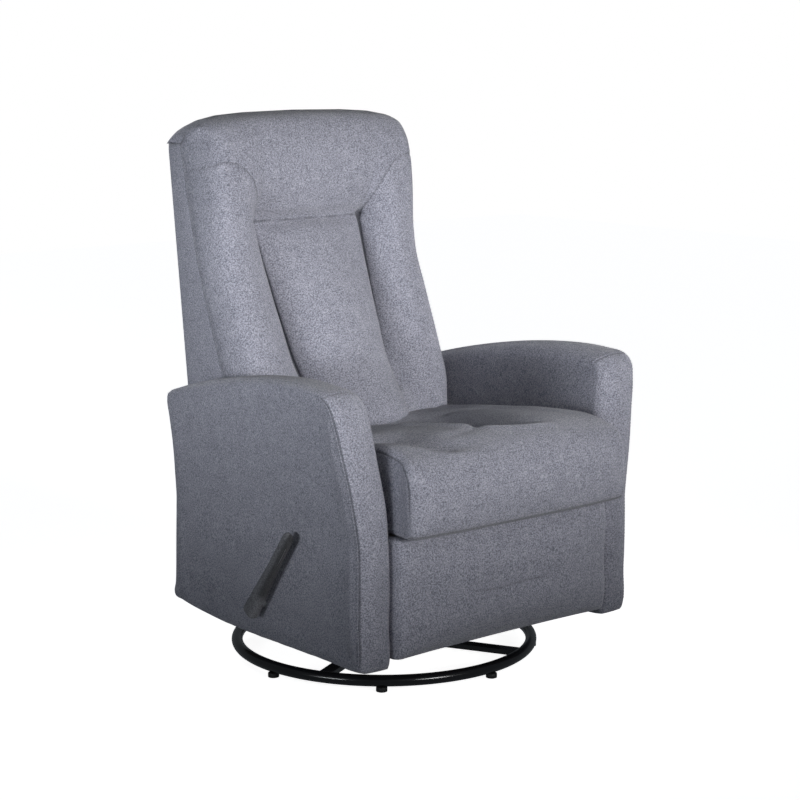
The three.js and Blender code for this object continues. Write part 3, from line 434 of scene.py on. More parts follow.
# Each hard finish: a noise that clouds its two colours and its roughness, and one for its relief. Noises are
# scale and detail, relief is strength and depth, roughness is its swing and least value, and view is the
# colour without a render
hardLooks = {
    "glossBlack": {"dark": rgb(0.006, 0.006, 0.007), "light": rgb(0.014, 0.014, 0.016), "cloud": (18, 3.0),
                   "grain": (700, 2.0), "relief": (0.08, 0.0004), "roughness": (0.12, 0.14),
                   "view": (0.01, 0.01, 0.011), "more": {"Coat Weight": 0.6, "Coat Roughness": 0.08}},
    "platedSteel": {"dark": rgb(0.32, 0.33, 0.34), "light": rgb(0.52, 0.53, 0.54), "cloud": (25, 4.0),
                    "grain": (1.0, 2.0), "stretch": (40, 900, 120), "relief": (0.15, 0.0004),
                    "roughness": (0.25, 0.25), "view": (0.42, 0.43, 0.44), "more": {"Metallic": 1.0}},
    "footPlastic": {"dark": rgb(0.012, 0.012, 0.012), "light": rgb(0.03, 0.03, 0.03), "cloud": (1200, 2.0),
                    "grain": (1200, 2.0), "relief": (0.3, 0.0003), "roughness": (0, 0.55),
                    "view": (0.02, 0.02, 0.02)},
    "thread": {"dark": rgb(0.05, 0.052, 0.065), "light": rgb(0.15, 0.155, 0.185), "cloud": (1500, 2.0),
               "grain": (1500, 2.0), "relief": (0.4, 0.0004), "roughness": (0, 0.7),
               "view": (0.1, 0.1, 0.12)},
}


def hardFinish(name):
    look = hardLooks[name]
    finish = Finish(name, look["view"])
    place = finish.place()
    cloud = finish.noise(place, *look["cloud"])
    if "stretch" in look:
        place = finish.node("ShaderNodeMapping", None, {"Vector": place, "Scale": look["stretch"]})
    swing, least = look["roughness"]
    return finish.surface({"Base Color": finish.mix(cloud, look["dark"], look["light"]),
                           "Roughness": cloud * swing + least if swing else least,
                           "Normal": finish.bump(finish.noise(place, *look["grain"]), *look["relief"]),
                           **look.get("more", {})})


board = {
    "stretch": (9, 60, 60), "grain": (2.2, 5.0, 0.65), "pore": (500, 2.0), "relief": (0.3, 0.0006),
    "browns": [(0.3, rgb(0.3, 0.19, 0.1)), (0.5, rgb(0.48, 0.34, 0.2)), (0.7, rgb(0.62, 0.47, 0.3))],
    "roughness": 0.72, "view": (0.52, 0.38, 0.23),
}


def boardFinish():
    # Grain: noise drawn out along X, through three browns, with finer pores in the relief
    finish = Finish("board", board["view"])
    place = finish.place()
    stretched = finish.node("ShaderNodeMapping", None, {"Vector": place, "Scale": board["stretch"]})
    grain = finish.noise(stretched, *board["grain"])
    pore = finish.noise(place, *board["pore"])
    return finish.surface({"Base Color": finish.ramp(grain, board["browns"]), "Roughness": board["roughness"],
                           "Normal": finish.bump(grain * 0.7 + pore * 0.3, *board["relief"])})


finishes = {
    "upholstery": fabricFinish("melangeCloth", upholstery),
    "lever_fabric": fabricFinish("charcoalCloth", leverCloth),
    "black_frame": hardFinish("glossBlack"),
    "mechanism_steel": hardFinish("platedSteel"),
    "timber": boardFinish(),
    "foot_plastic": hardFinish("footPlastic"),
    "thread": hardFinish("thread"),
}


def dress(piece, body, slot, replaced=(), finish=None):
    piece.data.materials.clear()
    piece.data.materials.append(finishes[finish or slot])
    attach(piece, body)
    if replaced:
        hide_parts(*replaced)
    return piece


# Padding: cloth under pressure on a coarser copy of a surface

padding = {"pressure": 4.0, "frames": 20, "spacing": 0.012, "stiffness": 6.0, "bending": 0.3, "mass": 0.03,
           "quality": 5}


def readLines(field, places, at, axis):
    # Straight reading of a field between its grid lines
    field = np.moveaxis(field, axis, 0)
    k = np.clip(np.searchsorted(places, at, side="right") - 1, 0, len(places) - 2)
    t = ((at - places[k]) / (places[k + 1] - places[k])).reshape(-1, *[1] * (field.ndim - 1))
    return np.moveaxis(field[k] * (1 - t) + field[k + 1] * t, 0, axis)


def softLines(field, at, axis, wraps):
    # Cubic B-spline of a field given at whole numbers, read between them
    field = np.moveaxis(field, axis, 0)
    k = np.floor(at).astype(int)
    t = (at - k).reshape(-1, *[1] * (field.ndim - 1))
    weights = ((1 - t)**3, 3 * t**3 - 6 * t**2 + 4, 3 * t + 3 * t**2 - 3 * t**3 + 1, t**3)
    total = 0
    for offset, weight in zip((-1, 0, 1, 2), weights):
        at = (k + offset) % len(field) if wraps else np.clip(k + offset, 0, len(field) - 1)
        total = total + field[at] * weight / 6
    return np.moveaxis(total, 0, axis)


def pumpedUp(start, held):
    # Coarse closed grid, blown up as cloth while its held points stay; returns the grid after the last frame
    rows, columns = start.shape[:2]
    points, quads, fans = ringBody(start)
    mesh = bareMesh("pump", points, *facingOut(points, quads, fans)[:2])
    pump = placed("pump", mesh)
    scene = bpy.context.scene
    group = pump.vertex_groups.new(name="held")
    group.add([int(n) for n in np.flatnonzero(held.ravel() > 0.5)], 1.0, "REPLACE")
    group.add([rows * columns, rows * columns + 1], 1.0, "REPLACE")
    cloth = pump.modifiers.new("cloth", "CLOTH")
    settings = cloth.settings
    settings.quality, settings.mass = padding["quality"], padding["mass"]
    settings.tension_stiffness = settings.compression_stiffness = padding["stiffness"]
    settings.shear_stiffness, settings.bending_stiffness = padding["stiffness"] / 3, padding["bending"]
    settings.use_pressure, settings.uniform_pressure_force = True, padding["pressure"]
    settings.effector_weights.gravity = 0
    settings.vertex_group_mass = "held"
    cloth.collision_settings.use_collision = False
    cloth.point_cache.frame_start, cloth.point_cache.frame_end = 1, padding["frames"]
    for number in range(1, padding["frames"] + 1):
        scene.frame_set(number)
    blown = pump.evaluated_get(bpy.context.evaluated_depsgraph_get()).data
    ends = np.empty(len(points) * 3)
    blown.vertices.foreach_get("co", ends)
    bpy.data.objects.remove(pump)
    bpy.data.meshes.remove(mesh)
    scene.frame_set(1)
    return ends.reshape(-1, 3)[:rows * columns].reshape(start.shape)


def padded(name, grid, held, shrink, cap):
    # The pad starts smaller by shrink and is blown up. Its moves, at most cap, are read back smoothly, and
    # their mean swelling is taken off again, so the finished pad has the size of the grid that comes in.
    columnPlaces = runLength(np.concatenate([grid, grid[:, :1]], axis=1), 1)
    rowPlaces = runLength(grid)
    columnCount = int(columnPlaces[-1] / padding["spacing"])
    rowCount = int(rowPlaces[-1] / padding["spacing"]) + 1
    toColumns = np.arange(columnCount) / columnCount * columnPlaces[-1]
    toRows = np.linspace(0, rowPlaces[-1], rowCount)
    coarse, coarseHeld = (
        readLines(readLines(np.concatenate([field, field[:, :1]], axis=1), columnPlaces, toColumns, 1),
                  rowPlaces, toRows, 0) for field in (grid, held))
    outward = outwardNormals(coarse)
    start = coarse - outward * (shrink * (1 - coarseHeld))[..., None]
    moved = pumpedUp(start, coarseHeld) - start
    length = np.linalg.norm(moved, axis=2, keepdims=True)
    print(f"stage: {name} padding moved {length.mean() * 1000:.1f} mm, at most {length.max() * 1000:.1f} mm")
    moved *= np.minimum(1, cap / np.maximum(length, 1e-9))
    swelling = float(((moved * outward).sum(2) * (1 - coarseHeld)).sum() / (1 - coarseHeld).sum())
    fine = softLines(moved, columnPlaces[:-1] / columnPlaces[-1] * columnCount, 1, True)
    fine = softLines(fine, rowPlaces / rowPlaces[-1] * (rowCount - 1), 0, False)
    return grid + fine - outwardNormals(grid) * (swelling * (1 - held))[..., None]


# Rolled bodies: a side outline carried across X, with rolled edges and flat ends

def stationsAcross(low, high, rollLow, rollHigh, middle, faceLow=(), faceHigh=(), steps=7):
    # Each station is (inset from the outline, share towards the middle of the end face, place across).
    # A quarter circle leads from each end face to the middle
    quarter = np.linspace(0, math.pi / 2, steps)
    shares = [0.93, 0.8, 0.64, 0.48, 0.32, 0.16]
    faceInsets = [0.06, 0.045, 0.034]

    def half(end, roll, extra, sign):
        rows = [[faceInsets[0], share, end] for share in shares]
        rows += [[inset, 0, end] for inset in sorted({*faceInsets, *extra}, reverse=True) if inset > roll]
        return rows + [[roll * (1 - math.sin(a)), 0, end + sign * roll * (1 - math.cos(a))] for a in quarter]

    return np.array(half(low, rollLow, faceLow, 1) + [[0, 0, place] for place in middle]
                    + half(high, rollHigh, faceHigh, -1)[::-1])


def stationsEvenly(half, roll, spacing):
    # Even places between two rolled edges
    middle = np.linspace(-half + roll, half - roll, int(2 * (half - roll) / spacing) + 1)
    return middle[1:-1]


def rolledGrid(curve, ringShares, centre, stations):
    # Each station's ring is the outline drawn towards the centre by its inset, measured square to the
    # outline, and then by its share. Returns (stations, outline, [across, forward, height])
    outline, centre = alongCurve(curve, ringShares, closed=True), np.array(centre)
    tangent = np.roll(outline, -1, axis=0) - np.roll(outline, 1, axis=0)
    tangent /= np.linalg.norm(tangent, axis=1, keepdims=True)
    outward = np.stack([tangent[:, 1], -tangent[:, 0]], -1)
    arm = outline - centre
    support = np.abs((arm * outward).sum(1))
    inset, share, across = stations.T
    keep = (1 - np.clip(inset[:, None] / support[None], 0, 0.9)) * (1 - share[:, None])
    ring = centre + arm[None] * keep[:, :, None]
    return np.concatenate([np.broadcast_to(across[:, None, None], (*ring.shape[:2], 1)), ring], -1)


def inFrame(grid, sign=1):
    # [across, forward, height] to X, Y, Z
    return np.stack([sign * grid[..., 0], axisY - grid[..., 1], grid[..., 2]], -1)


# Arms

arm = {
    "front": 0.337, "depth": 0.585, "foot": 0.089, "height": 0.507, "innerHalf": 0.266, "thickness": 0.069,
    "flareStart": 0.226, "flareOuter": 0.050, "flareInner": 0.032, "powerOuter": 1.15, "powerInner": 2.2,
    "rearFlareShare": 0.45, "rollInner": 0.024, "rollInnerLow": 0.007, "rollOuter": 0.010, "crown": 0.003,
    "shrink": 0.0035, "cap": 0.012, "seamShare": 0.80, "seamDepth": 0.0020, "seamWidth": 0.0016,
    "crossSeamForward": 0.292, "crossSeamHeight": 0.984, "crossRows": (0.0035, 11), "hemWave": 0.0016,
    "centre": (0.060, 0.330), "rings": 330, "faceInsets": [0.012, 0.015, 0.020, 0.026],
    "stitchGap": 0.0031, "stitchPitch": 0.0062, "stitchLength": 0.0042, "stitchThick": 0.0005,
    "tightBelow": (0.33, 0.47), "slack": 0.0009, "hemReach": 0.012, "ripple": 0.0006, "droop": 0.2,
    # Waves of the slack faces as their rates forward and up, and of the hem as rate, start and weight
    "slackWaves": [(17, 9), (-11, 23)], "hemRipples": [(97, 1.3, 1), (171, 0, 0.6)],
    "heldBelow": (0.40, 0.47), "gather": 0.00025, "gatherRate": 2100, "besideSeam": 0.007, "raised": 0.0007,
    "pullDepth": 0.0012, "pullWidth": 0.0025,
    "pull": [(0.294, 0.580), (0.302, 0.550)],       # short pull in the left arm's inner face
    # Side outline in shares of depth from the front and of height from the foot
    "outlineShares": [
        (0.0005, 0.012), (-0.002, 0.16), (-0.0034, 0.318), (0, 0.501), (0.0068, 0.653), (0.0205, 0.791),
        (0.0325, 0.89), (0.048, 0.949), (0.063, 0.970), (0.0855, 0.986), (0.149, 0.996), (0.241, 1.0),
        (0.366, 0.992), (0.549, 0.9665), (0.682, 0.939), (0.803, 0.909), (0.925, 0.874), (0.965, 0.861),
        (0.986, 0.849), (0.992, 0.828), (0.990, 0.76), (0.986, 0.673), (0.988, 0.487), (0.995, 0.284),
        (1.002, 0.10), (1.005, 0.052), (0.999, 0.040), (0.96, 0.031), (0.8, 0.011), (0.62, 0.001),
        (0.4, 0), (0.2, 0), (0.015, 0.0), (0.0035, 0.002)],
}


def armFlare(forward, height, flare, power):
    # How far a side face leans out: a power of the height over the flare's start, less towards the rear
    rise = np.clip((height - arm["foot"] - arm["flareStart"]) / (arm["height"] - arm["flareStart"]), 0, 1)
    rearward = np.clip((arm["front"] - forward) / arm["depth"], 0, 1)
    return flare * rise ** power * (1 - (1 - arm["rearFlareShare"]) * rearward)


def armGrid(ringShares, stations, curve):
    # The outline carried across the arm's thickness between its two flared faces
    grid = rolledGrid(curve, ringShares, arm["centre"], stations)
    across, forward, height = np.moveaxis(grid, -1, 0)
    inner = arm["innerHalf"] + armFlare(forward, height, arm["flareInner"], arm["powerInner"])
    outer = arm["innerHalf"] + arm["thickness"] + armFlare(forward, height, arm["flareOuter"],
                                                           arm["powerOuter"])
    grid[..., 0] = inner + (outer - inner) * across / arm["thickness"]
    return grid


def stitchPiece(name, paths, normal):
    # Each stitch is a short spindle that lies on the cloth along the path
    parts = []
    for path in paths:
        gone = runLength(path)
        for start in np.arange(0.004, gone[-1] - 0.006, arm["stitchPitch"]):
            points = readAlong(path, gone, start + arm["stitchLength"] * np.array([0, 0.25, 0.75, 1]))
            thick = arm["stitchThick"] * np.array([0.2, 1, 1, 0.2])
            parts.append(ringBody(sweep(points + normal * 0.0001, normal, thick, 5)))
    return joinedPiece(name, parts)


def makeArms():
    # Two carried outlines, one with a wide and one with a tight roll, mixed by height; then crown, slack,
    # hem, padding and sewn seams
    shares = [(arm["front"] - arm["depth"] * d, arm["foot"] + arm["height"] * h)
              for d, h in arm["outlineShares"]]
    curve = throughPoints(shares, closed=True)
    crossShare = nearestShare(curve, (arm["crossSeamForward"],
                                      arm["foot"] + arm["height"] * arm["crossSeamHeight"]))
    footShare = nearestShare(curve, (arm["front"], arm["foot"] + 0.008))
    ringShares = refined(np.arange(arm["rings"]) / arm["rings"], [crossShare], *arm["crossRows"])
    thickness, stitchGap, rollOuter = arm["thickness"], arm["stitchGap"], arm["rollOuter"]
    stations, tight = (
        stationsAcross(0, thickness, roll, rollOuter, np.linspace(roll, thickness - rollOuter, 12)[1:-1],
                       faceHigh=arm["faceInsets"], steps=14)
        for roll in (arm["rollInner"], arm["rollInnerLow"]))
    inset, share, across = stations.T
    # Arc length over the stations, and where on it the sewn edge runs
    gone = np.concatenate([[0], np.cumsum(np.hypot(np.diff(inset + share), np.diff(across)))])
    rollStart = gone[np.argmax(across > thickness - rollOuter - 1e-9)]
    seamAt = rollStart + arm["seamShare"] * rollOuter * math.pi / 2
    fromSeam = (gone - seamAt)[:, None]
    grid, tightGrid = armGrid(ringShares, stations, curve), armGrid(ringShares, tight, curve)
    low = 1 - smoothStep(*arm["tightBelow"], grid[..., 2:])
    grid = grid * (1 - low) + tightGrid * low

    # Crowned front and top, slack waves on the side faces and a wavy hem
    band = np.where(inset < 1e-6, 1 - (2 * across / thickness - 1) ** 2, 0)[:, None]
    normal = outwardNormals(grid)
    _, forward, height = np.moveaxis(grid, -1, 0)
    faceMask = (inset > 0.02).astype(float)[:, None]
    waves = arm["slack"] * sum(np.sin(forward * a + height * b) for a, b in arm["slackWaves"])
    hem = np.exp(-np.maximum(height - arm["foot"] - 0.004, 0) / arm["hemReach"])
    ripple = sum(weight * np.sin(forward * rate + start) for rate, start, weight in arm["hemRipples"])
    grid = grid + normal * (band * arm["crown"] + waves * faceMask + hem * ripple * arm["ripple"])[..., None]
    grid[..., 2] += hem * (ripple * 0.5 - arm["droop"]) * arm["hemWave"]

    outerFace = (across >= thickness - 1e-9)[:, None]
    innerFace = (across <= 1e-9)[:, None]
    frontMask = rangeMask(footShare - 0.004, footShare + 0.004, crossShare, crossShare + 0.006,
                          ringShares)[None]
    edgeSeam = bell(fromSeam, 0.006) * frontMask
    crossSeam = bell(ringShares - crossShare, 0.004)[None] * np.ones_like(forward) * (inset < 0.012)[:, None]
    faces = (innerFace * smoothStep(0.02, 0.05, inset)[:, None]
             + outerFace * smoothStep(0.016, 0.05, inset)[:, None])
    lowInside = innerFace * (1 - smoothStep(*arm["heldBelow"], height))
    held = np.maximum.reduce([hem, edgeSeam, crossSeam, lowInside, faces * np.ones_like(hem)])
    blown = padded("arm", grid, np.clip(held, 0, 1), arm["shrink"], arm["cap"])

    normal = outwardNormals(blown)
    _, forward, height = np.moveaxis(blown, -1, 0)
    edgeSeam = bell(fromSeam, arm["seamWidth"]) * frontMask
    crossSeam = bell(ringShares - crossShare, 0.0009)[None] * (
        smoothStep(0, 0.004, across)[:, None] * (fromSeam < 0))
    seams = np.maximum(edgeSeam, crossSeam * 0.8)
    beside = bell(fromSeam, arm["besideSeam"]) * frontMask
    gathered = arm["gather"] * beside * np.sin(ringShares * arm["gatherRate"])[None]
    full = blown + normal * (beside * arm["raised"] + gathered - seams * arm["seamDepth"])[..., None]
    front = (ringShares > footShare) & (ringShares < crossShare - 0.002)

    for side, sign in sides.items():
        pull = bell(distanceTo(arm["pull"], forward, height), arm["pullWidth"]) * (
            across < 0.03)[:, None] * (side == "left")
        grid = full - outwardNormals(full) * (pull * arm["pullDepth"])[..., None]
        # The seams are also darkened as painted shade in their grooves
        piece = closedPiece(f"armCover_{side}", inFrame(grid, sign), seams * 0.75)
        dress(piece, "chair", "upholstery", [f"arm_pad_{side}"])
        rows = readLines(grid[:, front], gone, seamAt + np.array([-stitchGap, stitchGap]), 0)
        piece = stitchPiece(f"armStitch_{side}", inFrame(rows, sign), np.array([sign * 0.9, -0.44, 0.0]))
        dress(piece, "chair", "upholstery", finish="thread")


makeArms()
print("stage: arms")


# Seat cushion

seat = {
    "half": 0.2585, "roll": 0.013, "rings": 300, "centre": (0.13, 0.405), "spacing": 0.0045,
    "crown": 0.007, "frontCrown": 0.009, "overhang": 0.0085, "shrink": 0.006, "cap": 0.022,
    "seamInset": 0.0165, "seamDepth": 0.0018, "seamWidth": 0.0022, "welt": 0.0009, "weltWidth": 0.008,
    # Gap beside the arms, half width ahead of them, and height of the painted shadow line under the front roll
    "clearance": 0.0015, "bulgeHalf": 0.2785, "underHeight": 0.3345,
    "profile": [  # forward and height of the side outline
        (-0.146, 0.335), (-0.148, 0.37), (-0.147, 0.41), (-0.140, 0.433), (-0.110, 0.442), (-0.050, 0.450),
        (0.010, 0.458), (0.061, 0.466), (0.130, 0.474), (0.196, 0.481), (0.263, 0.486), (0.320, 0.486),
        (0.357, 0.478), (0.383, 0.465), (0.397, 0.446), (0.403, 0.420), (0.4045, 0.390), (0.404, 0.360),
        (0.4015, 0.342), (0.393, 0.3315), (0.372, 0.3275), (0.310, 0.3272), (0.240, 0.3205), (0.1, 0.3195),
        (-0.05, 0.3195), (-0.135, 0.3205)],
    # Hollow behind the sewn tuft: its left border and its front border as x and forward
    "hollowLeft": [(-0.150, 0.02), (-0.110, 0.110), (-0.088, 0.170), (-0.068, 0.220), (-0.056, 0.265),
                   (-0.036, 0.303)],
    "hollowFront": [(-0.036, 0.303), (-0.010, 0.322), (0.030, 0.336), (0.080, 0.342), (0.150, 0.338),
                    (0.240, 0.310)],
    "hollowDepth": 0.037, "hollowSlope": 0.030, "hollowRight": (0.0, 0.135), "hollowRear": (-0.075, 0.12),
    "hollowFlat": 0.6,
    # Fold that runs forward near the right end, with a trough on its inner side
    "ridge": [(-0.232, 0.225), (-0.222, 0.262), (-0.206, 0.293), (-0.193, 0.325), (-0.170, 0.358),
              (-0.132, 0.384)],
    "troughInner": 0.055, "troughOuter": 0.026, "troughBed": 0.014, "troughDepth": 0.018,
    "troughReach": (0.20, 0.26, 0.345, 0.385),
    "tuftAt": (-0.036, 0.306), "tuftDepth": 0.008, "tuftWidth": 0.013, "tuftHeld": 0.02,
    "drawnAcross": (-0.24, -0.20, 0.17, 0.21), "drawnFrom": (0.345, 0.37),      # top that isn't blown up
    # Folds: depth, width and path; a depth below zero is a raised fold
    "folds": [
        (-0.005, 0.013, [(-0.036, 0.306), (-0.058, 0.265), (-0.072, 0.220), (-0.092, 0.170)]),
        (-0.0045, 0.012, [(-0.036, 0.306), (0.0, 0.330), (0.05, 0.346), (0.11, 0.350)]),
        (0.003, 0.013, [(-0.036, 0.306), (-0.070, 0.318), (-0.110, 0.318)]),
        (0.003, 0.02, [(-0.215, 0.08), (-0.12, 0.05), (-0.02, 0.06)]),
        (0.003, 0.018, [(0.10, 0.06), (0.17, 0.10), (0.215, 0.16)])],
}


def seatGrid(ringShares, stations, curve):
    # The side outline carried across and crowned, less the hollow, the trough beside the ridge, the tuft and
    # the folds, with a bulging front that widens ahead of the arms
    grid = rolledGrid(curve, ringShares, seat["centre"], stations)
    x, forward, height = np.moveaxis(grid, -1, 0)
    share = np.clip(x / seat["half"], -1, 1)
    top = smoothStep(0.425, 0.452, height)
    left, lip = np.array(seat["hollowLeft"]), np.array(seat["hollowFront"])
    inside = np.minimum(x - np.interp(forward, left[:, 1], left[:, 0]),
                        np.interp(x, lip[:, 0], lip[:, 1]) - forward)
    hollow = seat["hollowDepth"] * smoothStep(-0.002, seat["hollowSlope"], inside) ** seat["hollowFlat"] * (
        1 - smoothStep(*seat["hollowRight"], x)) * smoothStep(*seat["hollowRear"], forward)
    ridge = np.array(seat["ridge"])
    beside = x - np.interp(forward, ridge[:, 1], ridge[:, 0])
    bed, along = seat["troughBed"], rangeMask(*seat["troughReach"], forward)
    trough = seat["troughDepth"] * along * np.where(
        beside > bed, bell(beside - bed, seat["troughInner"]), bell(beside - bed, seat["troughOuter"]))
    tuft = seat["tuftDepth"] * bell(np.hypot(x - seat["tuftAt"][0], forward - seat["tuftAt"][1]),
                                    seat["tuftWidth"])
    folds = pressedLines(seat["folds"], x, forward)
    grid[..., 2] = height + top * (seat["crown"] * (1 - share ** 2) - hollow - trough - tuft - folds)
    grid[..., 1] = forward + smoothStep(0.36, 0.40, forward) * seat["frontCrown"] * (1 - share ** 4)
    grid[..., 0] = x + seat["overhang"] * share ** 3 * smoothStep(arm["front"] + 0.012, 0.385, forward)
    return grid


def makeSeat():
    # The seat's grid blown up between its held parts, with a sewn seam and its welt near each end
    curve = throughPoints(seat["profile"], closed=True)
    ringShares = np.arange(seat["rings"]) / seat["rings"]
    half, roll = seat["half"], seat["roll"]
    middle = stationsEvenly(half, roll, seat["spacing"])
    seamRows = seat["seamInset"] + np.linspace(-0.003, 0.005, 8)
    stations = stationsAcross(-half, half, roll, roll, middle, faceLow=seamRows, faceHigh=seamRows, steps=8)
    inset = stations[:, 0]
    grid = seatGrid(ringShares, stations, curve)
    x, forward, height = np.moveaxis(grid, -1, 0)
    rest = np.maximum(1 - smoothStep(0.335, 0.352, height), 1 - smoothStep(-0.12, -0.08, forward))
    ends = smoothStep(0.0, 0.02, inset)[:, None]
    fromTuft = np.hypot(x - seat["tuftAt"][0], forward - seat["tuftAt"][1])
    tuft = bell(fromTuft, seat["tuftHeld"]) * (height > 0.42)
    drawn = rangeMask(*seat["drawnAcross"], x) * smoothStep(0.40, 0.44, height) * (
        1 - smoothStep(*seat["drawnFrom"], forward))
    held = np.clip(np.maximum.reduce([rest, ends * np.ones_like(x), tuft * 1.5, drawn]), 0, 1)
    full = padded("seat", inFrame(grid), held, seat["shrink"], seat["cap"])
    seam = bell(inset - seat["seamInset"], seat["seamWidth"])[:, None] * (forward > -0.12) * (
        smoothStep(0.34, 0.40, height))
    welt = bell(inset - seat["seamInset"], seat["weltWidth"])[:, None] * seat["welt"]
    full = full - outwardNormals(full) * (seam * seat["seamDepth"] - welt)[..., None]
    limit = np.where(forward < arm["front"] + 0.004, arm["innerHalf"] - seat["clearance"], seat["bulgeHalf"])
    full[..., 0] = np.clip(full[..., 0], -limit, limit)
    # Painted shadow: a dark line under the front roll where it meets the footrest, and painted shade in the seam
    # grooves, fading out lower down
    shadowUnderRoll = bell(height - seat["underHeight"], 0.0028) * (forward > 0.385) * np.ones_like(x)
    fading = smoothStep(0.335, 0.42, height)
    piece = closedPiece("seatCushion", full, np.maximum(seam * 0.6 * fading, shadowUnderRoll * 0.8))
    dress(piece, "chair", "upholstery", ["seat_cushion"])


makeSeat()
print("stage: seat")


# Footrest pad

footrest = {
    "half": 0.2643, "roll": 0.008, "rings": 190, "spacing": 0.0075, "crown": 0.006, "edgeRound": 0.009,
    "creaseHeight": 0.205, "creaseDepth": 0.0012, "creaseWidth": 0.0028, "creaseReach": 0.115,
    "shrink": 0.003, "cap": 0.012, "corner": 0.026,
    "wrap": 0.0085,      # the cover also wraps the edges of its board
}


def makeFootrest():
    # A box with rounded edges: its front bulges by sixth powers of width and height, its corners turn back on
    # a quarter circle, and one shallow crease crosses it
    low, high = nodeBox("footrest_pad")
    rear, front = axisY - high[1] - footrest["wrap"], axisY - low[1] - footrest["crown"]
    bottom, top, r = low[2], high[2], footrest["edgeRound"]
    middle = (bottom + top) / 2
    cut = 0.002
    profile = [(front, bottom + 2 * r), (front, middle), (front, top - 2 * r), (front - 0.25 * r, top - r),
               (front - r, top - 0.25 * r), (front - 2 * r, top), (rear + r, top), (rear + cut, top - cut),
               (rear, top - r), (rear, middle), (rear, bottom + r), (rear + cut, bottom + cut),
               (rear + r, bottom), (front - 2 * r, bottom), (front - r, bottom + 0.25 * r),
               (front - 0.25 * r, bottom + r)]
    curve = throughPoints(profile, closed=True)
    creaseShare = nearestShare(curve, (front, footrest["creaseHeight"]))
    ringShares = refined(np.arange(footrest["rings"]) / footrest["rings"], [creaseShare], 0.010, 13)
    half, roll = footrest["half"], footrest["roll"]
    stations = stationsAcross(-half, half, roll, roll, stationsEvenly(half, roll, footrest["spacing"]))
    stations[:, 0] = np.minimum(stations[:, 0], (front - rear) * 0.42)
    grid = rolledGrid(curve, ringShares, [(front + rear) / 2, middle], stations)
    x, forward, height = np.moveaxis(grid, -1, 0)
    share = x / half
    rise = (height - bottom) / (top - bottom) * 2 - 1
    facing = smoothStep(front - 0.02, front - 0.004, forward)
    bulge = footrest["crown"] * (1 - share ** 6) * (1 - rise ** 6)
    cornerward = np.clip((np.abs(x) - half + footrest["corner"]) / footrest["corner"], 0, 1)
    turned = footrest["corner"] * (1 - np.sqrt(1 - cornerward ** 2))
    deep = np.clip((forward - rear) / (front - rear), 0, 1)
    grid[..., 1] = forward + facing * bulge - deep * turned
    held = np.clip(1 - facing + bell(1 - np.abs(share), 0.05), 0, 1)
    full = padded("footrest", inFrame(grid), held, footrest["shrink"], footrest["cap"])
    fromCrease = height - footrest["creaseHeight"] - 0.0015 * np.sin(x * 40)
    crease = facing * bell(fromCrease, footrest["creaseWidth"]) * (
        1 - smoothStep(footrest["creaseReach"] * 0.5, footrest["creaseReach"], np.abs(x)))
    full[..., 1] += crease * footrest["creaseDepth"]
    # The crease is also darkened a little as painted shade
    piece = closedPiece("footrestCover", full, crease * 0.3)
    dress(piece, "footrest", "upholstery", ["footrest_pad"])


makeFootrest()
print("stage: footrest")


# Back cushion

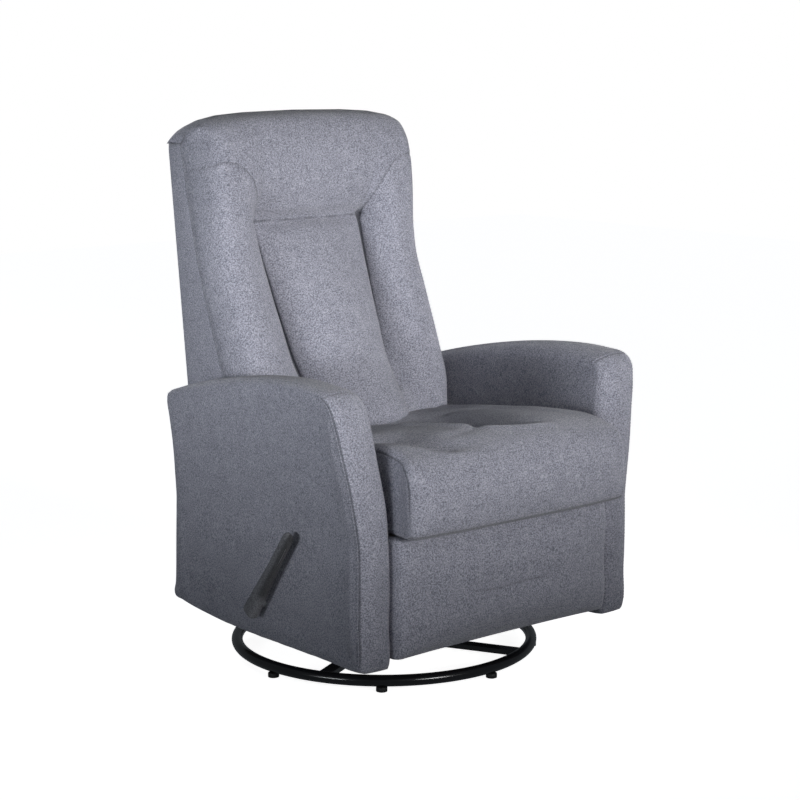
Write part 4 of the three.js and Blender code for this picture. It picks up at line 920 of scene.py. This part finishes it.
back = {
    "lean": math.radians(6.4), "half": 0.2594, "low": 0.060, "frameTop": 0.6663, "rearFace": 0.0738,
    "cushionRear": 0.0474, "lip": 0.005, "tuckDepth": 0.0028, "tuckHalf": 0.2556, "seamStation": 0.48,
    "stationPlace": 0.137, "columns": 250, "rows": 190, "panelTop": 0.503,
    "top": 0.7215, "topHalf": [0, 0.118, 0.179, 0.216, 0.234, 0.246, 0.253, 0.2570, 0.2594],
    "topHeights": [0.7215, 0.7195, 0.7155, 0.7085, 0.7015, 0.6945, 0.688, 0.6815, 0.675],
    # Forward depth of the cushion at heights along the back
    "heights": [0.060, 0.088, 0.125, 0.166, 0.227, 0.289, 0.363, 0.437, 0.480, 0.503, 0.530, 0.560, 0.600,
                0.640, 0.677, 0.703],
    "middle": [0.208, 0.221, 0.220, 0.198, 0.159, 0.131, 0.100, 0.066, 0.044, 0.026, 0.048, 0.066, 0.078,
               0.081, 0.076, 0.062],
    "seam": [0.182, 0.191, 0.171, 0.123, 0.088, 0.070, 0.049, 0.030, 0.020, 0.016, 0.038, 0.060, 0.077,
             0.080, 0.075, 0.061],
    "bolster": [0.140, 0.155, 0.159, 0.155, 0.141, 0.125, 0.104, 0.085, 0.082, 0.081, 0.081, 0.082, 0.083,
                0.082, 0.075, 0.059],
    "edge": [0.093, 0.090, 0.083, 0.071, 0.052, 0.035, 0.018, 0.001, -0.005, -0.008, -0.011, -0.014, -0.018,
             -0.022, -0.026, -0.030],
    "seamHalfHeights": [0.060, 0.125, 0.176, 0.267, 0.357, 0.448, 0.538, 0.72],
    "seamHalf": [0.084, 0.093, 0.109, 0.119, 0.126, 0.132, 0.137, 0.140],
    "edgePower": [1.2, 1.3, 1.6, 2.4, 2.7, 2.8, 2.9, 2.9, 3.1, 3.4, 4.0, 4.5, 4.8, 4.8, 4.6, 4.4],
    "bolsterHalf": 0.196, "seamDepth": 0.0042, "seamWidth": 0.0024, "shrink": 0.005, "cap": 0.024,
    "topSeamDepth": 0.0035, "topSeamWidth": 0.003, "topSeamWave": 0.0012, "topSeamRate": 55,
    "pucker": 0.0004, "puckerRate": 420, "shadeWidth": 0.0013, "pleatWidth": 0.0016,
    # Height of the painted shade line where the seat presses against the low end, and how far it falls towards the
    # sides
    "contact": 0.0855, "contactFall": 0.0095,
    # Sewn arc of the headrest as x and height, on both sides
    "arc": [(0.2575, 0.612), (0.245, 0.616), (0.235, 0.620), (0.207, 0.616), (0.190, 0.607), (0.168, 0.584),
            (0.152, 0.555), (0.141, 0.525), (0.136, 0.506)],
    "arcDepth": 0.0016, "arcWidth": 0.0032,
    # Short pleats at the top corners, drawn only as painted shade lines, as depth and height
    "pleats": [[(-0.054, 0.671), (-0.030, 0.688)], [(-0.036, 0.656), (-0.020, 0.668)]],
    # Soft pulls in the cloth: depth, width and path
    "pulls": [
        (0.0010, 0.003, [(0.205, 0.44), (0.203, 0.36), (0.205, 0.30), (0.200, 0.24), (0.192, 0.19)]),
        (0.0014, 0.012, [(-0.172, 0.47), (-0.178, 0.40), (-0.172, 0.32), (-0.165, 0.25)]),
        (0.0020, 0.007, [(-0.136, 0.503), (-0.150, 0.530), (-0.175, 0.545)]),
        (0.0020, 0.007, [(0.136, 0.503), (0.150, 0.528), (0.172, 0.540)]),
        (0.0016, 0.007, [(-0.136, 0.503), (-0.120, 0.525), (-0.095, 0.538)]),
        (0.0016, 0.007, [(0.136, 0.503), (0.122, 0.524), (0.100, 0.536)]),
        (0.0016, 0.014, [(-0.15, 0.655), (-0.05, 0.668), (0.06, 0.664), (0.15, 0.650)]),
        (0.0014, 0.009, [(-0.20, 0.640), (-0.15, 0.652), (-0.12, 0.672)])],
}


def leanOut(grid):
    # [x, depth, height along the back] to X, Y, Z, turned about the hinge
    hinge = jointPlace["recline"]
    rearward, height = -grid[..., 1], grid[..., 2]
    cos, sin = math.cos(back["lean"]), math.sin(back["lean"])
    return np.stack([grid[..., 0], hinge[1] + rearward * cos + height * sin,
                     hinge[2] + height * cos - rearward * sin], -1)


def backDepth(place, z):
    # Front of the cushion: panel between the sewn valleys, bolster outside them, rolled to the side seam
    middle, seam, bolster, edge, power = (readTable(back["heights"], back[key], z)
                                          for key in ("middle", "seam", "bolster", "edge", "edgePower"))
    seamHalf = readTable(back["seamHalfHeights"], back["seamHalf"], z)
    inward = np.clip(np.abs(place) / seamHalf, 0, 1)
    panel = seam + (middle - seam) * (1 - inward ** 2.6) ** 0.8
    out = np.clip((np.abs(place) - seamHalf) / (back["bolsterHalf"] - seamHalf), 0, 1)
    rising = seam + (bolster - seam) * np.sin(out * math.pi / 2) ** 0.95
    edgeward = np.clip((np.abs(place) - back["bolsterHalf"]) / (back["half"] - back["bolsterHalf"]), 0, 1)
    rolled = edge + (bolster - edge) * (1 - edgeward ** power) ** (1 / 2.2)
    return np.where(np.abs(place) < seamHalf, panel, np.where(np.abs(place) < back["bolsterHalf"],
                                                              rising, rolled))


def backRing(share, columnShares):
    # One section of the cushion: up the front, over the top and down to the rear panel, then inside
    width, station = abs(share), back["seamStation"]
    reach = float(np.interp(width, [0, station, 1], [0, back["stationPlace"], back["half"]]))
    top = max(float(np.interp(reach, back["topHalf"], back["topHeights"])), back["frameTop"] + back["lip"])
    heights = np.array(back["heights"])
    z = back["low"] + (heights - back["low"]) * (top - back["low"]) / (back["top"] - back["low"])
    seamHalf = readTable(back["seamHalfHeights"], back["seamHalf"], heights)
    place = np.where(width < station, width / station * seamHalf,
                     seamHalf + (width - station) / (1 - station) * (back["half"] - seamHalf))
    depth = backDepth(place, heights)
    tall = min(1, (top - back["frameTop"]) / 0.05)
    crest = [[0.028, -0.005], [-0.004, 0], [-0.034, -0.002], [-0.058, -0.012], [-0.070, -0.030]]
    ridge = [[place[-1], d if d < depth[-1] else depth[-1] * 0.6, top + dz * tall] for d, dz in crest]
    rear = [[place[-1], -back["rearFace"], back["frameTop"] + 0.001]]
    curve = throughPoints(np.concatenate([np.stack([place, depth, z], -1), ridge, rear]))
    inner = np.array([[place[-1], -back["cushionRear"], height] for height in (back["frameTop"], 0.5, 0.3)]
                     + [[place[0], -back["cushionRear"], back["low"]], [place[0], 0.02, back["low"]]])
    ring = np.concatenate([alongCurve(curve, columnShares), inner])
    ring[:, 0] *= np.sign(share) if share else 1
    return ring


def tuckedRow(ring):
    # The end section again, drawn in from its outline and nearer the middle, so the cover's edge turns under
    way = np.roll(ring, -1, axis=0) - np.roll(ring, 1, axis=0)
    depth, height = ring[:, 1], ring[:, 2]
    turning = np.sign((depth * np.roll(height, -1) - np.roll(depth, -1) * height).sum())
    inward = turning * np.stack([-way[:, 2], way[:, 1]], -1) / np.hypot(way[:, 1], way[:, 2])[:, None]
    return np.column_stack([np.full(len(ring), np.sign(ring[0, 0]) * back["tuckHalf"]),
                            ring[:, 1:] + inward * back["tuckDepth"]])


def makeBack():
    # Sections from right to left, each run from the low front to the rear, blown up between the seams and
    # then sunk along seams and pulls
    station = back["seamStation"]
    spread = np.linspace(-1, 1, back["rows"])
    spread = np.sign(spread) * (1 - (1 - np.abs(spread)) ** 1.2)      # closer rows towards the edges
    near = np.array([0, 0.0015, 0.0035, 0.006, 0.009, 0.014, 0.022])
    near = np.concatenate([station + near, station - near])
    rows = np.unique(np.round(np.concatenate([spread, near, -near, [0]]), 5))
    columns = np.linspace(0, 1, back["columns"])
    grid = np.array([backRing(share, columns) for share in rows])
    rows = np.concatenate([[-1], rows, [1]])
    grid = np.concatenate([[tuckedRow(grid[0])], grid, [tuckedRow(grid[-1])]])
    x, depth, z = np.moveaxis(grid, -1, 0)
    front = (np.arange(grid.shape[1]) < len(columns) * 0.93)[None] * np.ones_like(x)
    below = 1 - smoothStep(back["panelTop"], back["panelTop"] + 0.006, z)
    seamHalf = readTable(back["seamHalfHeights"], back["seamHalf"], z)
    fromSeam = np.abs(np.abs(x) - seamHalf)
    topLine = back["panelTop"] + back["topSeamWave"] * np.sin(x * back["topSeamRate"])
    held = np.maximum.reduce([
        1 - front, bell(fromSeam, 0.012) * below, bell(z - topLine, 0.012) * (np.abs(x) < seamHalf),
        smoothStep(0.86, 0.95, np.abs(rows))[:, None] * np.ones_like(x),
        1 - smoothStep(back["low"], back["low"] + 0.014, z), smoothStep(0.66, 0.69, z)])
    full = padded("back", grid, np.clip(held, 0, 1), back["shrink"], back["cap"])
    x, z = full[..., 0], full[..., 2]
    sideLine = np.exp(-np.abs(np.abs(x) - seamHalf) / back["seamWidth"]) * below
    topSeam = np.exp(-np.abs(z - topLine) / back["topSeamWidth"]) * (np.abs(x) < seamHalf + 0.002)
    arcGap = distanceTo(back["arc"], np.abs(x), z)
    pulls = pressedLines(back["pulls"], x, z)
    pucker = (back["pucker"] * bell(z - topLine, 0.012) * np.sin(x * back["puckerRate"])
              * (np.abs(x) < seamHalf))
    sunk = (sideLine * back["seamDepth"] + topSeam * back["topSeamDepth"]
            + bell(arcGap, back["arcWidth"]) * back["arcDepth"] + pulls + pucker)
    pleats = sum(bell(distanceTo(path, depth, z), back["pleatWidth"]) for path in back["pleats"]) * (
        np.abs(x) > 0.240)
    # Painted shade at the seams, the headrest arc, the corner pleats and along the line where the seat presses on
    # the low end
    contact = back["contact"] - back["contactFall"] * (x / back["half"]) ** 2
    fine = back["shadeWidth"]
    shade = np.maximum.reduce([bell(np.abs(x) - seamHalf, fine) * below,
                               bell(z - topLine, fine) * (np.abs(x) < seamHalf) * 0.85,
                               bell(arcGap, fine) * 0.7, pleats * 0.9,
                               (1 - smoothStep(contact - 0.003, contact + 0.004, z)) * 0.85])
    full = full - outwardNormals(full) * (sunk * front)[..., None]
    piece = closedPiece("backCushion", leanOut(full), shade * front)
    dress(piece, "back", "upholstery", ["back_cushion"])


makeBack()


# Back cover

shell = {
    "half": 0.2591, "rear": 0.074, "wall": 0.0032, "corner": 0.007, "low": -0.078, "top": 0.6655,
    "tuck": 0.0010, "notch": 0.102, "rows": 70, "swell": 0.0015, "hem": 0.020, "edgeSlack": 0.0004,
    "sidePoints": 22, "rearPoints": 22,
    "lowReach": (0.010, 0.050),      # its front edge at the hem and at the notch
}


def shellRing(z):
    # Plan of the wall at a height: from one front edge round the rear to the other, then its inner line
    half, rear, wall, r = (shell[key] for key in ("half", "rear", "wall", "corner"))
    reach = float(readTable(back["heights"], back["edge"], max(z, back["low"]))) - shell["edgeSlack"]
    below = 1 - float(smoothStep(shell["notch"] - 0.003, shell["notch"] + 0.004, z))
    hemReach, notchReach = shell["lowReach"]
    lowReach = hemReach + (notchReach - hemReach) * (z - shell["low"]) / (shell["notch"] - shell["low"])
    reach = reach * (1 - below) + lowReach * below
    nose = [[half - wall + 0.0006, reach - 0.0008], [half - wall / 2, reach], [half - 0.0004, reach - 0.0012]]
    swell = shell["swell"] * np.sin(np.linspace(0, math.pi, shell["sidePoints"])) ** 0.5
    side = np.stack([half + swell, np.linspace(reach - 0.004, -(rear - r), shell["sidePoints"])], -1)
    turn = np.linspace(0, math.pi / 2, 5)[1:]
    corner = np.stack([half - r + r * np.cos(turn), -(rear - r) - r * np.sin(turn)], -1)
    outer = np.concatenate([nose, side, corner])
    rearX = np.linspace(half - r, -(half - r), shell["rearPoints"] + 2)[1:-1]
    inner = np.array([[half - wall, -(rear - wall)], [half - wall, reach - 0.003]])
    ring = np.concatenate([outer, np.stack([rearX, np.full(len(rearX), -rear)], -1), (outer * (-1, 1))[::-1],
                           (inner * (-1, 1))[::-1], inner])
    tuck = shell["tuck"] * float(smoothStep(shell["top"] - 0.010, shell["top"], z))
    return np.column_stack([ring * (1 - tuck / half), np.full(len(ring), z)])


def makeShell():
    # Plans of the wall at even heights, closer together at the notch and at the hem
    heights = np.unique(np.round(np.concatenate([
        np.linspace(shell["low"], shell["top"], shell["rows"]),
        shell["notch"] + np.linspace(-0.012, 0.012, 9),
        shell["low"] + shell["hem"] + np.linspace(-0.0024, 0.0024, 7)]), 5))
    grid = np.array([shellRing(z) for z in heights])
    # The ring's last points are its inner line, and the corner's second point comes after nose and side
    innerCount, corner = 4, 3 + shell["sidePoints"] + 1
    shade = np.zeros(grid.shape[1])
    shade[[corner, grid.shape[1] - innerCount - 1 - corner]] = 0.55
    hem = bell(heights - shell["low"] - shell["hem"], 0.0010)[:, None] * 0.8
    piece = wallPiece("backShell", leanOut(grid), np.maximum(hem, shade[None]), innerCount)
    dress(piece, "back", "upholstery", ["back_rear_panel", "back_side_panel_left", "back_side_panel_right"])


makeShell()
print("stage: back")


# Rear valance

valance = {"edgeRound": 0.0028, "swell": 0.0015}


def makeValance():
    # A rounded rectangle carried across X, drawn in at both ends, its rear swelled by fourth powers
    low, high = nodeBox("rear_valance")
    x = np.linspace(low[0], high[0], 60)[:, None, None]
    height = np.linspace(low[2], high[2], 24)[1:-1]
    r = valance["edgeRound"]
    depths = [low[1] + 0.3 * r, low[1] + r, high[1] - r, high[1] - 0.3 * r]
    loop = np.array([(low[1], z) for z in height] + [(y, high[2]) for y in depths]
                    + [(high[1], z) for z in height[::-1]] + [(y, low[2]) for y in depths[::-1]])
    middle = (low[1:] + high[1:]) / 2
    away = loop - middle
    section = middle + np.sign(away) * np.maximum(np.abs(away) - np.where(np.abs(x) > high[0] - r, r, 0), 0)
    grid = np.concatenate([np.broadcast_to(x, (*section.shape[:2], 1)), section], -1)
    share = 1 - (x[..., 0] / high[0]) ** 4
    rise = 1 - ((grid[..., 2] - middle[1]) / (high[2] - middle[1])) ** 4
    grid[..., 1] += (grid[..., 1] > middle[0]) * valance["swell"] * (share * rise - 1)
    piece = closedPiece("rearValance", grid, np.zeros(grid.shape[:2]))
    dress(piece, "chair", "upholstery", ["rear_valance"])


makeValance()


# Dust cover: a thin black cloth from the rear edge of the seat board down to the valance

dustCover = {"half": 0.246, "thick": 0.0012, "sag": 0.003, "rows": 60, "columns": 40,
             "path": [(0.1671, 0.3155), (0.1725, 0.304), (0.177, 0.283), (0.184, 0.255), (0.201, 0.227),
                      (0.2358, 0.2135)]}


def makeDustCover():
    # A hanging line carried across X, lower in the middle by a half sine along it and a parabola across
    half, share = dustCover["half"], np.linspace(0, 1, dustCover["columns"])
    line = alongCurve(throughPoints(dustCover["path"]), share)
    x = np.linspace(-half, half, dustCover["rows"])[:, None]
    drop = dustCover["sag"] * np.sin(np.pi * share) * (1 - (x / half) ** 2)
    grid = np.stack(np.broadcast_arrays(x, line[:, 0], line[:, 1] - drop), -1)
    piece = sheetPiece("dustCover", grid, dustCover["thick"])
    dress(piece, "chair", "lever_fabric")


makeDustCover()


# Lever

lever = {
    "angle": math.radians(54.5), "tail": 0.026, "length": 0.216, "hubWidth": 0.034, "tipWidth": 0.0215,
    "hubThick": 0.025, "tipThick": 0.016, "square": 0.72, "rows": 70, "sides": 44, "crease": 0.0012,
    "creaseAt": 0.17, "creaseWidth": 0.025, "seamDepth": 0.0007, "aside": 0.001, "rearward": 0.003,
    # Shares of the length over which the two ends round off, the power of the blunter one, least roundness
    "tipShare": 0.05, "hubShare": 0.035, "hubPower": 2.6, "least": 0.0004,
}


def makeLever():
    # Superellipses along the lever, narrower towards the tip and rounded off at both ends
    low, high = nodeBox("lever_sleeve")
    pivot = np.array(jointPlace["lever_turn"])
    along = np.array([0, -math.cos(lever["angle"]), math.sin(lever["angle"])])
    across = np.array([0, math.sin(lever["angle"]), math.cos(lever["angle"])])
    share = (1 - np.cos(np.linspace(0, math.pi, lever["rows"]))) / 2
    tip, hub = (np.sqrt(np.clip(1 - np.clip(1 - gone / lever[key], 0, 1) ** power, lever["least"], 1))
                for gone, key, power in ((1 - share, "tipShare", 2), (share, "hubShare", lever["hubPower"])))
    width = lever["hubWidth"] + (lever["tipWidth"] - lever["hubWidth"]) * smoothStep(-0.1, 0.75, share)
    thick = lever["hubThick"] + (lever["tipThick"] - lever["hubThick"]) * smoothStep(-0.1, 0.8, share)
    # Gathered where the sleeve leaves the hub
    neck = lever["crease"] * bell(share - lever["creaseAt"], lever["creaseWidth"])
    width, thick = (width - 2 * neck) * tip * hub, (thick - neck) * np.minimum(tip, hub)
    angle = 2 * np.pi * (np.arange(lever["sides"]) + 0.5) / lever["sides"]
    wide, deep = (np.sign(turn) * np.abs(turn) ** lever["square"] for turn in (np.cos(angle), np.sin(angle)))
    centre = (pivot - along * lever["tail"] + (0, lever["rearward"], 0)
              + along * (lever["length"] * share)[:, None])
    centre[:, 0] = (low[0] + high[0]) / 2 + lever["aside"]
    grid = centre[:, None] + across * (wide[None] * width[:, None] / 2)[..., None]
    grid[..., 0] -= deep[None] * thick[:, None] / 2
    seam = bell(deep, 0.16)[None] * (wide > 0)[None] * np.ones((lever["rows"], 1))
    grid = grid - outwardNormals(grid) * (seam * lever["seamDepth"])[..., None]
    # Painted shade: the side of the sleeve turned away from the light is darkened, beside the shade in its seam
    facing = smoothStep(-0.1, 0.75, -wide)[None] * smoothStep(0.20, 0.32, share)[:, None]
    piece = closedPiece("leverSleeve", grid, np.maximum(seam * 0.5, facing))
    dress(piece, "lever", "lever_fabric", ["lever_sleeve"])


makeLever()
print("stage: lever")


# Base

base = {
    "ringRadius": 0.2924, "tube": 0.011, "ringSteps": 160, "tubeSides": 24, "footSides": 28,
    "footProfile": [(0.90, 0), (0.97, 0.04), (1, 0.14), (1, 0.86), (0.97, 0.96), (0.90, 1)],
}


def makeBase():
    # Ring: a circle carried round the swivel axis. Feet: a rounded profile turned round each foot's middle
    low, high = nodeBox("base_ring")
    height = (low[2] + high[2]) / 2
    turn = 2 * np.pi * np.arange(base["ringSteps"]) / base["ringSteps"]
    around = 2 * np.pi * np.arange(base["tubeSides"]) / base["tubeSides"]
    reach = base["ringRadius"] + base["tube"] * np.cos(around)[None]
    grid = np.stack([reach * np.cos(turn)[:, None], axisY + reach * np.sin(turn)[:, None],
                     height + base["tube"] * np.sin(around)[None] * np.ones((len(turn), 1))], -1)
    place = np.arange(grid.shape[0] * grid.shape[1]).reshape(grid.shape[:2])
    right, up = np.roll(place, -1, axis=0), np.roll(place, -1, axis=1)
    quads = np.stack([place, right, np.roll(right, -1, axis=1), up], -1).reshape(-1, 4)
    piece = meshOf("baseRing", grid.reshape(-1, 3), quads, noFans)
    dress(piece, "base", "black_frame", ["base_ring"])
    feet = [name for name in frame["nodes"] if name.startswith("base_foot_")]
    bodies = []
    for name in feet:
        low, high = nodeBox(name)
        middle, size = (low + high) / 2, high - low
        angle = 2 * np.pi * np.arange(base["footSides"]) / base["footSides"]
        bodies.append(ringBody(np.array([
            np.stack([middle[0] + size[0] / 2 * s * np.cos(angle),
                      middle[1] + size[0] / 2 * s * np.sin(angle),
                      np.full(len(angle), low[2] + size[2] * h)], -1) for s, h in base["footProfile"]])))
    piece = joinedPiece("baseFeet", bodies)
    dress(piece, "base", "foot_plastic", feet)


makeBase()

for row in frame["record"]["subparts"]:
    bare = frame["nodes"][row["node"]].data.materials
    bare.clear()
    bare.append(finishes[row["material_slot"]])
print("stage: base and mechanism")


# Floor, light and camera

studio = {
    "floorSize": 14.0, "floorColour": rgb(0.80, 0.80, 0.81), "dustColour": rgb(0.84, 0.84, 0.85),
    "floorGlow": 0.93, "floorDrop": 0.0002, "camera": (-2.553, -3.055, 1.210),
    "azimuth": 40.34, "dip": 10.15, "lens": 93.1, "ambientColour": (0.83, 0.91, 1.0), "ambient": 0.085,
    # Soft lamps: place, where they aim, width and height, spread of the beam in degrees and power
    "lamps": {
        "front": {"place": (-0.10, -2.9, 1.06), "aim": (0, 0, 0.78), "size": (1.6, 0.6), "spread": 36,
                  "power": 7.3},
        "upperSide": {"place": (-2.8, 0.0, 0.78), "aim": (0, 0.1, 0.90), "size": (1.4, 0.5), "spread": 34,
                      "power": 1.08, "tint": (0.93, 0.965, 1.0)},
        "lowerSide": {"place": (-2.8, -0.5, 0.60), "aim": (0, 0.1, 0.80), "size": (1.2, 0.4), "spread": 40,
                      "power": 2.75, "tint": (0.93, 0.965, 1.0)},
        "rear": {"place": (0.7, 2.9, 1.25), "aim": (0, 0, 0.82), "size": (1.6, 0.6), "spread": 38,
                 "power": 5.5, "glossy": False},
        "farSide": {"place": (2.9, 0.2, 0.75), "aim": (0, 0.1, 0.60), "size": (1.4, 0.4), "spread": 34,
                    "power": 2.6, "glossy": False},
    },
}


def aimAt(thing, place, target):
    way = np.array(target, float) - np.array(place, float)
    flat = math.hypot(way[0], way[1])
    thing.location = place
    thing.rotation_euler = (math.pi / 2 - math.atan2(-way[2], flat), 0, math.atan2(-way[0], way[1]))


class Surround(Finish):
    # The world's own nodes: white where the camera sees it, a dim cool light elsewhere
    def __init__(self, world):
        world.use_nodes = True
        self.tree = world.node_tree
        self.tree.nodes.clear()
        seen = self.node("ShaderNodeLightPath", output="Is Camera Ray")
        dim = self.node("ShaderNodeBackground", None, {"Color": (*studio["ambientColour"], 1),
                                                       "Strength": studio["ambient"]})
        white = self.node("ShaderNodeBackground", None, {"Color": (1, 1, 1, 1), "Strength": 1.0})
        shown = self.node("ShaderNodeMixShader", None, {0: seen, 1: dim, 2: white})
        self.node("ShaderNodeOutputWorld", None, {"Surface": shown})


def makeStudio():
    scene = bpy.context.scene
    line = np.linspace(-0.5, 0.5, 15) * studio["floorSize"]
    x, y = np.meshgrid(line, line)
    points = np.stack([x.ravel(), y.ravel(), np.full(x.size, -studio["floorDrop"])], -1)
    quads, _ = gridFaces(len(line), len(line), wraps=False, capped=False)
    mesh = bareMesh("floor", points, quads)
    floor = placed("floor", mesh)
    finish = Finish("paleFloor", (0.9, 0.9, 0.9))
    dust = finish.noise(finish.place(), 3.0, 2.0)
    mesh.materials.append(finish.surface({
        "Base Color": finish.mix(dust, studio["floorColour"], studio["dustColour"]), "Roughness": 0.8,
        "Emission Color": rgb(1, 1, 1), "Emission Strength": studio["floorGlow"]}))
    # The pale floor throws no light back on the chair
    floor.visible_diffuse = floor.visible_glossy = False

    for name, look in studio["lamps"].items():
        light = bpy.data.lights.new(name, "AREA")
        light.shape = "RECTANGLE"
        light.size, light.size_y = look["size"]
        light.energy, light.spread = look["power"], math.radians(look["spread"])
        light.color = look.get("tint", (1, 1, 1))
        lamp = placed(name, light)
        aimAt(lamp, look["place"], look["aim"])
        lamp.visible_glossy = look.get("glossy", True)

    scene.world = bpy.data.worlds.new("studio")
    Surround(scene.world)

    camera = bpy.data.cameras.new("camera")
    camera.lens, camera.sensor_width = studio["lens"], 36
    view = placed("camera", camera)
    view.location = np.array(studio["camera"]) + (0, axisY, 0)
    view.rotation_euler = (math.radians(90 - studio["dip"]), 0, math.radians(-studio["azimuth"]))
    scene.camera = view
    scene.view_settings.view_transform = "Standard"


makeStudio()
print("stage: studio")
